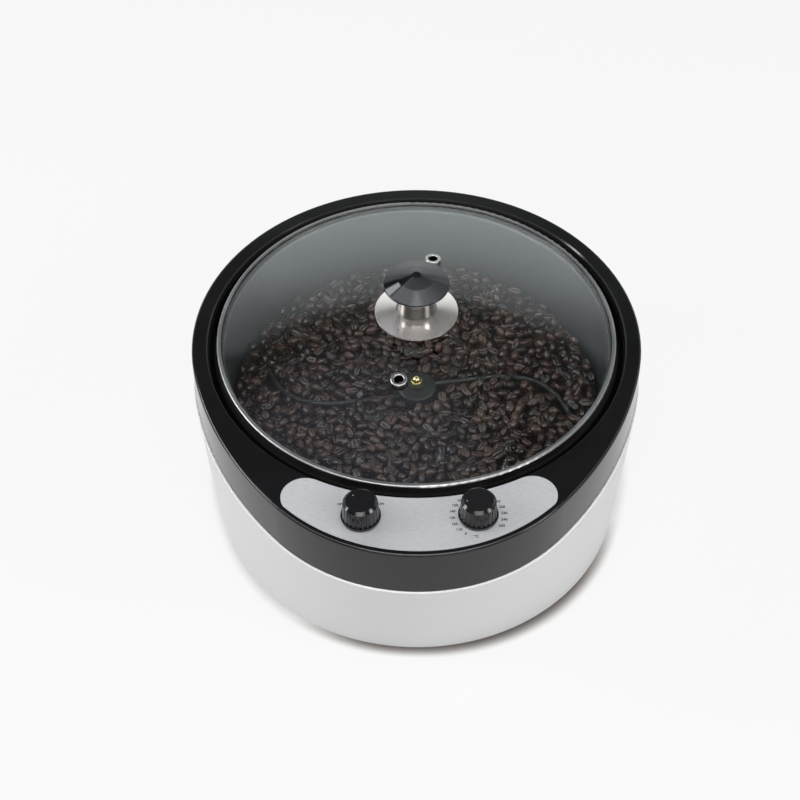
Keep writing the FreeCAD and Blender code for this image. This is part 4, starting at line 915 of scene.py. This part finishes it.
def bean_turn(tree, given):
    """Belly up or down, a little tilt, and any heading, but along the wall beside the wall."""
    seed, tilt = out(given, "Seed"), out(given, "Tilt")
    place = calc_vector(tree, "SUBTRACT", out(put(tree, "GeometryNodeInputPosition")), AXIS)
    x, y, _ = split(tree, place)
    beside_wall = calc(tree, "GREATER_THAN", flat_length(tree, x, y), out(given, "Wall"))
    any_heading = random_value(tree, 0.0, 2 * math.pi, seed, 1.0)
    along = calc(tree, "ADD", calc(tree, "ARCTAN2", y, x), math.pi / 2)
    along = calc(tree, "ADD", along, calc(tree, "MULTIPLY", any_heading, WALL_LOOSENESS))
    belly_up = calc(tree, "GREATER_THAN", random_value(tree, 0.0, 1.0, seed, 2.0), 0.5)
    roll = calc(tree, "MULTIPLY", tilt, random_value(tree, -1.0, 1.0, seed, 3.0))
    pitch = calc(tree, "MULTIPLY", tilt, random_value(tree, *PITCH, seed, 4.0))
    return out(put(tree, "ShaderNodeCombineXYZ", {
        "X": calc(tree, "ADD", calc(tree, "MULTIPLY", math.pi, belly_up), roll), "Y": pitch,
        "Z": mix(tree, beside_wall, any_heading, along, "FLOAT"),
    }))


def layer_tree():
    tree, given, result = new_group(
        "bean_layer", "GeometryNodeTree", LAYER_INPUTS, [("Geometry", "Geometry")]
    )
    tree.is_modifier = True
    seed, spacing = out(given, "Seed"), out(given, "Spacing")
    density = calc(tree, "DIVIDE", CROWDING, calc(tree, "MULTIPLY", spacing, spacing))
    points = put(tree, "GeometryNodeDistributePointsOnFaces", {
        "Mesh": out(given, "Geometry"), "Distance Min": spacing, "Density Max": density, "Seed": seed,
    }, distribute_method="POISSON")
    wires = put(tree, "GeometryNodeObjectInfo", {"Object": out(given, "Wires")})
    nearest = put(tree, "GeometryNodeProximity", {"Geometry": out(wires, "Geometry")}, target_element="FACES")
    blocked = put(tree, "FunctionNodeCompare", {
        "A": out(nearest, "Distance"), "B": out(given, "Clearance"),
    }, data_type="FLOAT", operation="LESS_THAN")
    kept = put(tree, "GeometryNodeDeleteGeometry", {
        "Geometry": out(points, "Points"), "Selection": out(blocked),
    }, domain="POINT")
    lift = calc(tree, "MULTIPLY", out(given, "Unevenness"), random_value(tree, -1.0, 1.0, seed))
    raised = put(tree, "GeometryNodeSetPosition", {
        "Geometry": out(kept), "Offset": out(put(tree, "ShaderNodeCombineXYZ", {"Z": lift})),
    })
    pattern = put(tree, "GeometryNodeObjectInfo", {"Object": out(given, "Bean"), "As Instance": True})
    placed = put(tree, "GeometryNodeInstanceOnPoints", {
        "Points": out(raised), "Instance": out(pattern, "Geometry"), "Rotation": bean_turn(tree, given),
        "Scale": random_value(tree, *BEAN_SCALE, seed, 5.0),
    })
    toned = put(tree, "GeometryNodeStoreNamedAttribute", {
        "Geometry": out(placed), "Name": "tone", "Value": random_value(tree, 0.0, 1.0, seed, 6.0),
    }, data_type="FLOAT", domain="INSTANCE")
    real = put(tree, "GeometryNodeRealizeInstances", {"Geometry": out(toned)})
    painted = put(tree, "GeometryNodeSetMaterial", {
        "Geometry": out(real), "Material": out(given, "Material"),
    })
    tree.links.new(out(painted), result.inputs["Geometry"])
    return tree


LAYER_TREE = layer_tree()
print("tree for one layer:", len(LAYER_TREE.nodes), "nodes")

# %% Discs to grow on, and the wires to keep clear of
WALL_ROOM = 3.4 * MM            # the middle of a bean stays this far inside the bed's edge
WALL_BAND = 6 * MM              # in a band this wide at the edge, beans lie along the wall
HUB_ROOM = 14 * MM


def full_turn(count):
    """Angles at even steps round a circle."""
    return [2 * math.pi * i / count for i in range(count)]


def turned(radius, angle, z):
    """A place at a radius and an angle about an upright axis."""
    return Vector((radius * math.cos(angle), radius * math.sin(angle), z))


def ring_disc(name, outer, inner, z):
    """A flat ring about the pan's axis."""
    shape = bmesh.new()
    low, high = (
        [shape.verts.new(AXIS + turned(radius, angle, z)) for angle in full_turn(ROUND)]
        for radius in (inner, outer)
    )
    for i, j in around(ROUND):
        shape.faces.new((low[i], high[i], high[j], low[j]))
    return add_object(name, plain_mesh(name, shape))


def merged_copy(name, *sources):
    """One mesh object from copies of several solids."""
    shape = bmesh.new()
    for source in sources:
        shape.from_mesh(nodes[source].data)
    bmesh.ops.remove_doubles(shape, verts=shape.verts, dist=0.001 * MM)
    return add_object(name, plain_mesh(name, shape))


wires = merged_copy("wire_guide", "stirrer_arm_right", "stirrer_arm_left", "stirrer_hub")
print("wires to keep clear of:", len(wires.data.polygons), "faces")

# %% Grow a shape with Geometry Nodes
def grown(name, base, tree, values):
    """Run a tree on a base object and keep the result as a plain mesh object."""
    modifier = base.modifiers.new("grow", "NODES")
    modifier.node_group = tree
    identifiers = {
        item.name: item.identifier for item in tree.interface.items_tree
        if item.item_type == "SOCKET" and item.in_out == "INPUT"
    }
    for label, value in values.items():
        modifier[identifiers[label]] = value
    graph = bpy.context.evaluated_depsgraph_get()
    mesh = bpy.data.meshes.new_from_object(base.evaluated_get(graph))
    bpy.data.objects.remove(base)
    mesh.name = name
    return add_object(name, mesh)


# %% Grow the three layers
LAYERS = {
    # name: (depth under the level of the beans, seed)
    "beans_top": (1.4 * MM, 3),
    "beans_middle": (4.2 * MM, 14),
    "beans_low": (7.2 * MM, 25),
}
LAYER_VALUES = {
    "Bean": bean, "Wires": wires, "Spacing": 6.7 * MM, "Clearance": 3.0 * MM, "Tilt": 0.6,
    "Unevenness": 1.4 * MM, "Wall": BED_R - WALL_BAND, "Material": FINISHES["roasted_bean"],
}

for name, (depth, seed) in LAYERS.items():
    disc = ring_disc(name + "_disc", BED_R - WALL_ROOM, HUB_ROOM, BEAN_LEVEL - depth)
    layer = grown(name, disc, LAYER_TREE, {**LAYER_VALUES, "Seed": seed})
    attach(layer, "stirrer")
    print(name, len(layer.data.polygons) // len(bean.data.polygons), "beans")

# %% The dark bed under them
BED_COVER = 7.5 * MM
BED_CORNER, BED_WALL_GAP, CORNER_STEPS = 11 * MM, 1 * MM, 6


def bed_core():
    """A closed ring that fills the pan under the loose beans."""
    inner, outer = HUB_ROOM, BED_R - BED_WALL_GAP
    top, low = BEAN_LEVEL - BED_COVER, BED_LOW
    profile = [(inner, top), (inner, low), (outer - BED_CORNER, low)]
    for step in range(CORNER_STEPS):
        angle = math.pi / 2 / CORNER_STEPS * (step + 1)
        profile.append((
            outer - BED_CORNER + BED_CORNER * math.sin(angle), low + BED_CORNER * (1 - math.cos(angle)),
        ))
    profile.append((outer, top))
    shape = bmesh.new()
    rings = [[shape.verts.new(AXIS + turned(r, angle, z)) for r, z in profile] for angle in full_turn(ROUND)]
    for i, following in around(ROUND):
        ring, other = rings[i], rings[following]
        for j, k in around(len(profile)):
            shape.faces.new((ring[j], other[j], other[k], ring[k]))
    bmesh.ops.recalc_face_normals(shape, faces=shape.faces)
    return add_object("bean_bed", plain_mesh("bean_bed", shape, FINISHES["roasted_bean"]))


bed = bed_core()
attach(bed, "stirrer")
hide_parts("bean_charge")
for helper in (wires, bean):
    bpy.data.objects.remove(helper)
print("the bed is", round((BEAN_LEVEL - BED_LOW) / MM, 1), "mm deep")

# %% [markdown]
# ## Marks on the control plate
#
# Marks on a plate are screen printed: a film of ink a few hundredths of a millimetre thick. Words
# are made from a text curve, turned into a mesh and only then put in place. The switch makes a
# quarter turn between OFF and ON. The thermostat's knob turns through 270 degrees, so its 16 marks
# stand 18 degrees apart, from 0 and then from 110 to 250 degrees Celsius.

# %% Print words
INK_THICKNESS, INK_SPREAD = 0.05 * MM, 0.09 * MM
INK = finish(
    "print_ink", ((0.015, 0.015, 0.016), (0.030, 0.030, 0.032)), (0.45, 0.6), GRAIN,
    {"Scale": 2500.0, "Depth": 0.004 * MM},
)
LETTER_STEPS = 3                # steps in each curve of a letter


def word_mesh(text, size):
    """A thin closed mesh of one word, centred on the origin."""
    curve = bpy.data.curves.new("word", "FONT")
    curve.body, curve.size = text, size
    curve.align_x, curve.align_y = "CENTER", "CENTER"
    curve.extrude, curve.offset = INK_THICKNESS / 2, INK_SPREAD
    curve.resolution_u = LETTER_STEPS
    word = add_object("word", curve)
    mesh = bpy.data.meshes.new_from_object(word.evaluated_get(bpy.context.evaluated_depsgraph_get()))
    bpy.data.objects.remove(word)
    return mesh


def printed(name, marks, size):
    """All marks round one knob as one mesh; each mark is (text, place)."""
    shape = bmesh.new()
    for text, place in marks:
        mesh = word_mesh(text, size)
        mesh.transform(Matrix.Translation(place))
        shape.from_mesh(mesh)
    bmesh.ops.remove_doubles(shape, verts=shape.verts, dist=0.0001 * MM)
    bmesh.ops.recalc_face_normals(shape, faces=shape.faces)
    words = add_object(name, plain_mesh(name, shape, INK))
    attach(words, "casing")
    print(name, len(words.data.polygons), "faces:", " ".join(text for text, _ in marks))


def dial_centre(node):
    """The axis of a control knob, at height 0."""
    low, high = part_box(node)
    return Vector(((low.x + high.x) / 2, (low.y + high.y) / 2, 0))


def clock_place(centre, degrees, radius, z):
    """A place round a knob: 0 degrees points to the back, and they grow clockwise."""
    angle = math.radians(degrees)
    return centre + Vector((radius * math.sin(angle), radius * math.cos(angle), z))


# %% The marks of both knobs
PRINT_Z = PLATE_TOP + INK_THICKNESS / 4
SWITCH, THERMOSTAT = dial_centre("switch_dial"), dial_centre("thermostat_dial")
SWITCH_MARKS, SWITCH_MARK_R, SWITCH_TEXT = {"OFF": -52, "ON": 52}, 16.6 * MM, 2.3 * MM
HEAT_FIRST, HEAT_STEP, HEAT_MARK_R, HEAT_TEXT = -150, 18, 16.8 * MM, 2.7 * MM
HEAT_MARKS = ["0"] + [str(heat) for heat in range(110, 251, 10)]
UNIT, UNIT_ANGLE = "\u00b0C", 186

heat_angles = {text: HEAT_FIRST + HEAT_STEP * i for i, text in enumerate(HEAT_MARKS)}
heat_angles[UNIT] = UNIT_ANGLE
for name, centre, angles, radius, size in (
    ("switch_print", SWITCH, SWITCH_MARKS, SWITCH_MARK_R, SWITCH_TEXT),
    ("thermostat_print", THERMOSTAT, heat_angles, HEAT_MARK_R, HEAT_TEXT),
):
    printed(name, [
        (text, clock_place(centre, angle, radius, PRINT_Z)) for text, angle in angles.items()
    ], size)

# %% [markdown]
# A small pale grey dot on each knob says where it points. It is a drop of paint, so it stands up
# a little in the middle. It rides on the knob and turns with it.

# %% The dots on the knobs
DOT_PROFILE = ((0.55, 0.0), (0.50, 0.06), (0.34, 0.12))  # radius and height, in millimetres
DOT_SEGMENTS = 20
DIAL_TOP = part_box("switch_dial")[1].z
SWITCH_REST, SWITCH_DOT_R = -45, 6.5 * MM
HEAT_REST, HEAT_DOT_R = HEAT_FIRST + 3 * HEAT_STEP, 7.5 * MM
PAINT = finish(
    "dot_paint", ((0.20, 0.20, 0.20), (0.26, 0.26, 0.26)), (0.4, 0.5), GRAIN, {"Depth": 0.004 * MM}
)


def paint_dot(name, body, place):
    """A closed low dome of paint."""
    shape = bmesh.new()
    rings = [
        [shape.verts.new(place + turned(radius, angle, z) * MM) for angle in full_turn(DOT_SEGMENTS)]
        for radius, z in DOT_PROFILE
    ]
    for low, high in zip(rings, rings[1:]):
        for i, j in around(DOT_SEGMENTS):
            shape.faces.new((low[i], low[j], high[j], high[i]))
    shape.faces.new(rings[-1])
    shape.faces.new(reversed(rings[0]))
    bmesh.ops.recalc_face_normals(shape, faces=shape.faces)
    dot = add_object(name, plain_mesh(name, shape, PAINT))
    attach(dot, body)
    print(name, "at", [round(v, 4) for v in place])


paint_dot("switch_dot", "switch_knob", clock_place(SWITCH, SWITCH_REST, SWITCH_DOT_R, DIAL_TOP))
paint_dot("thermostat_dot", "thermostat_knob", clock_place(THERMOSTAT, HEAT_REST, HEAT_DOT_R, DIAL_TOP))
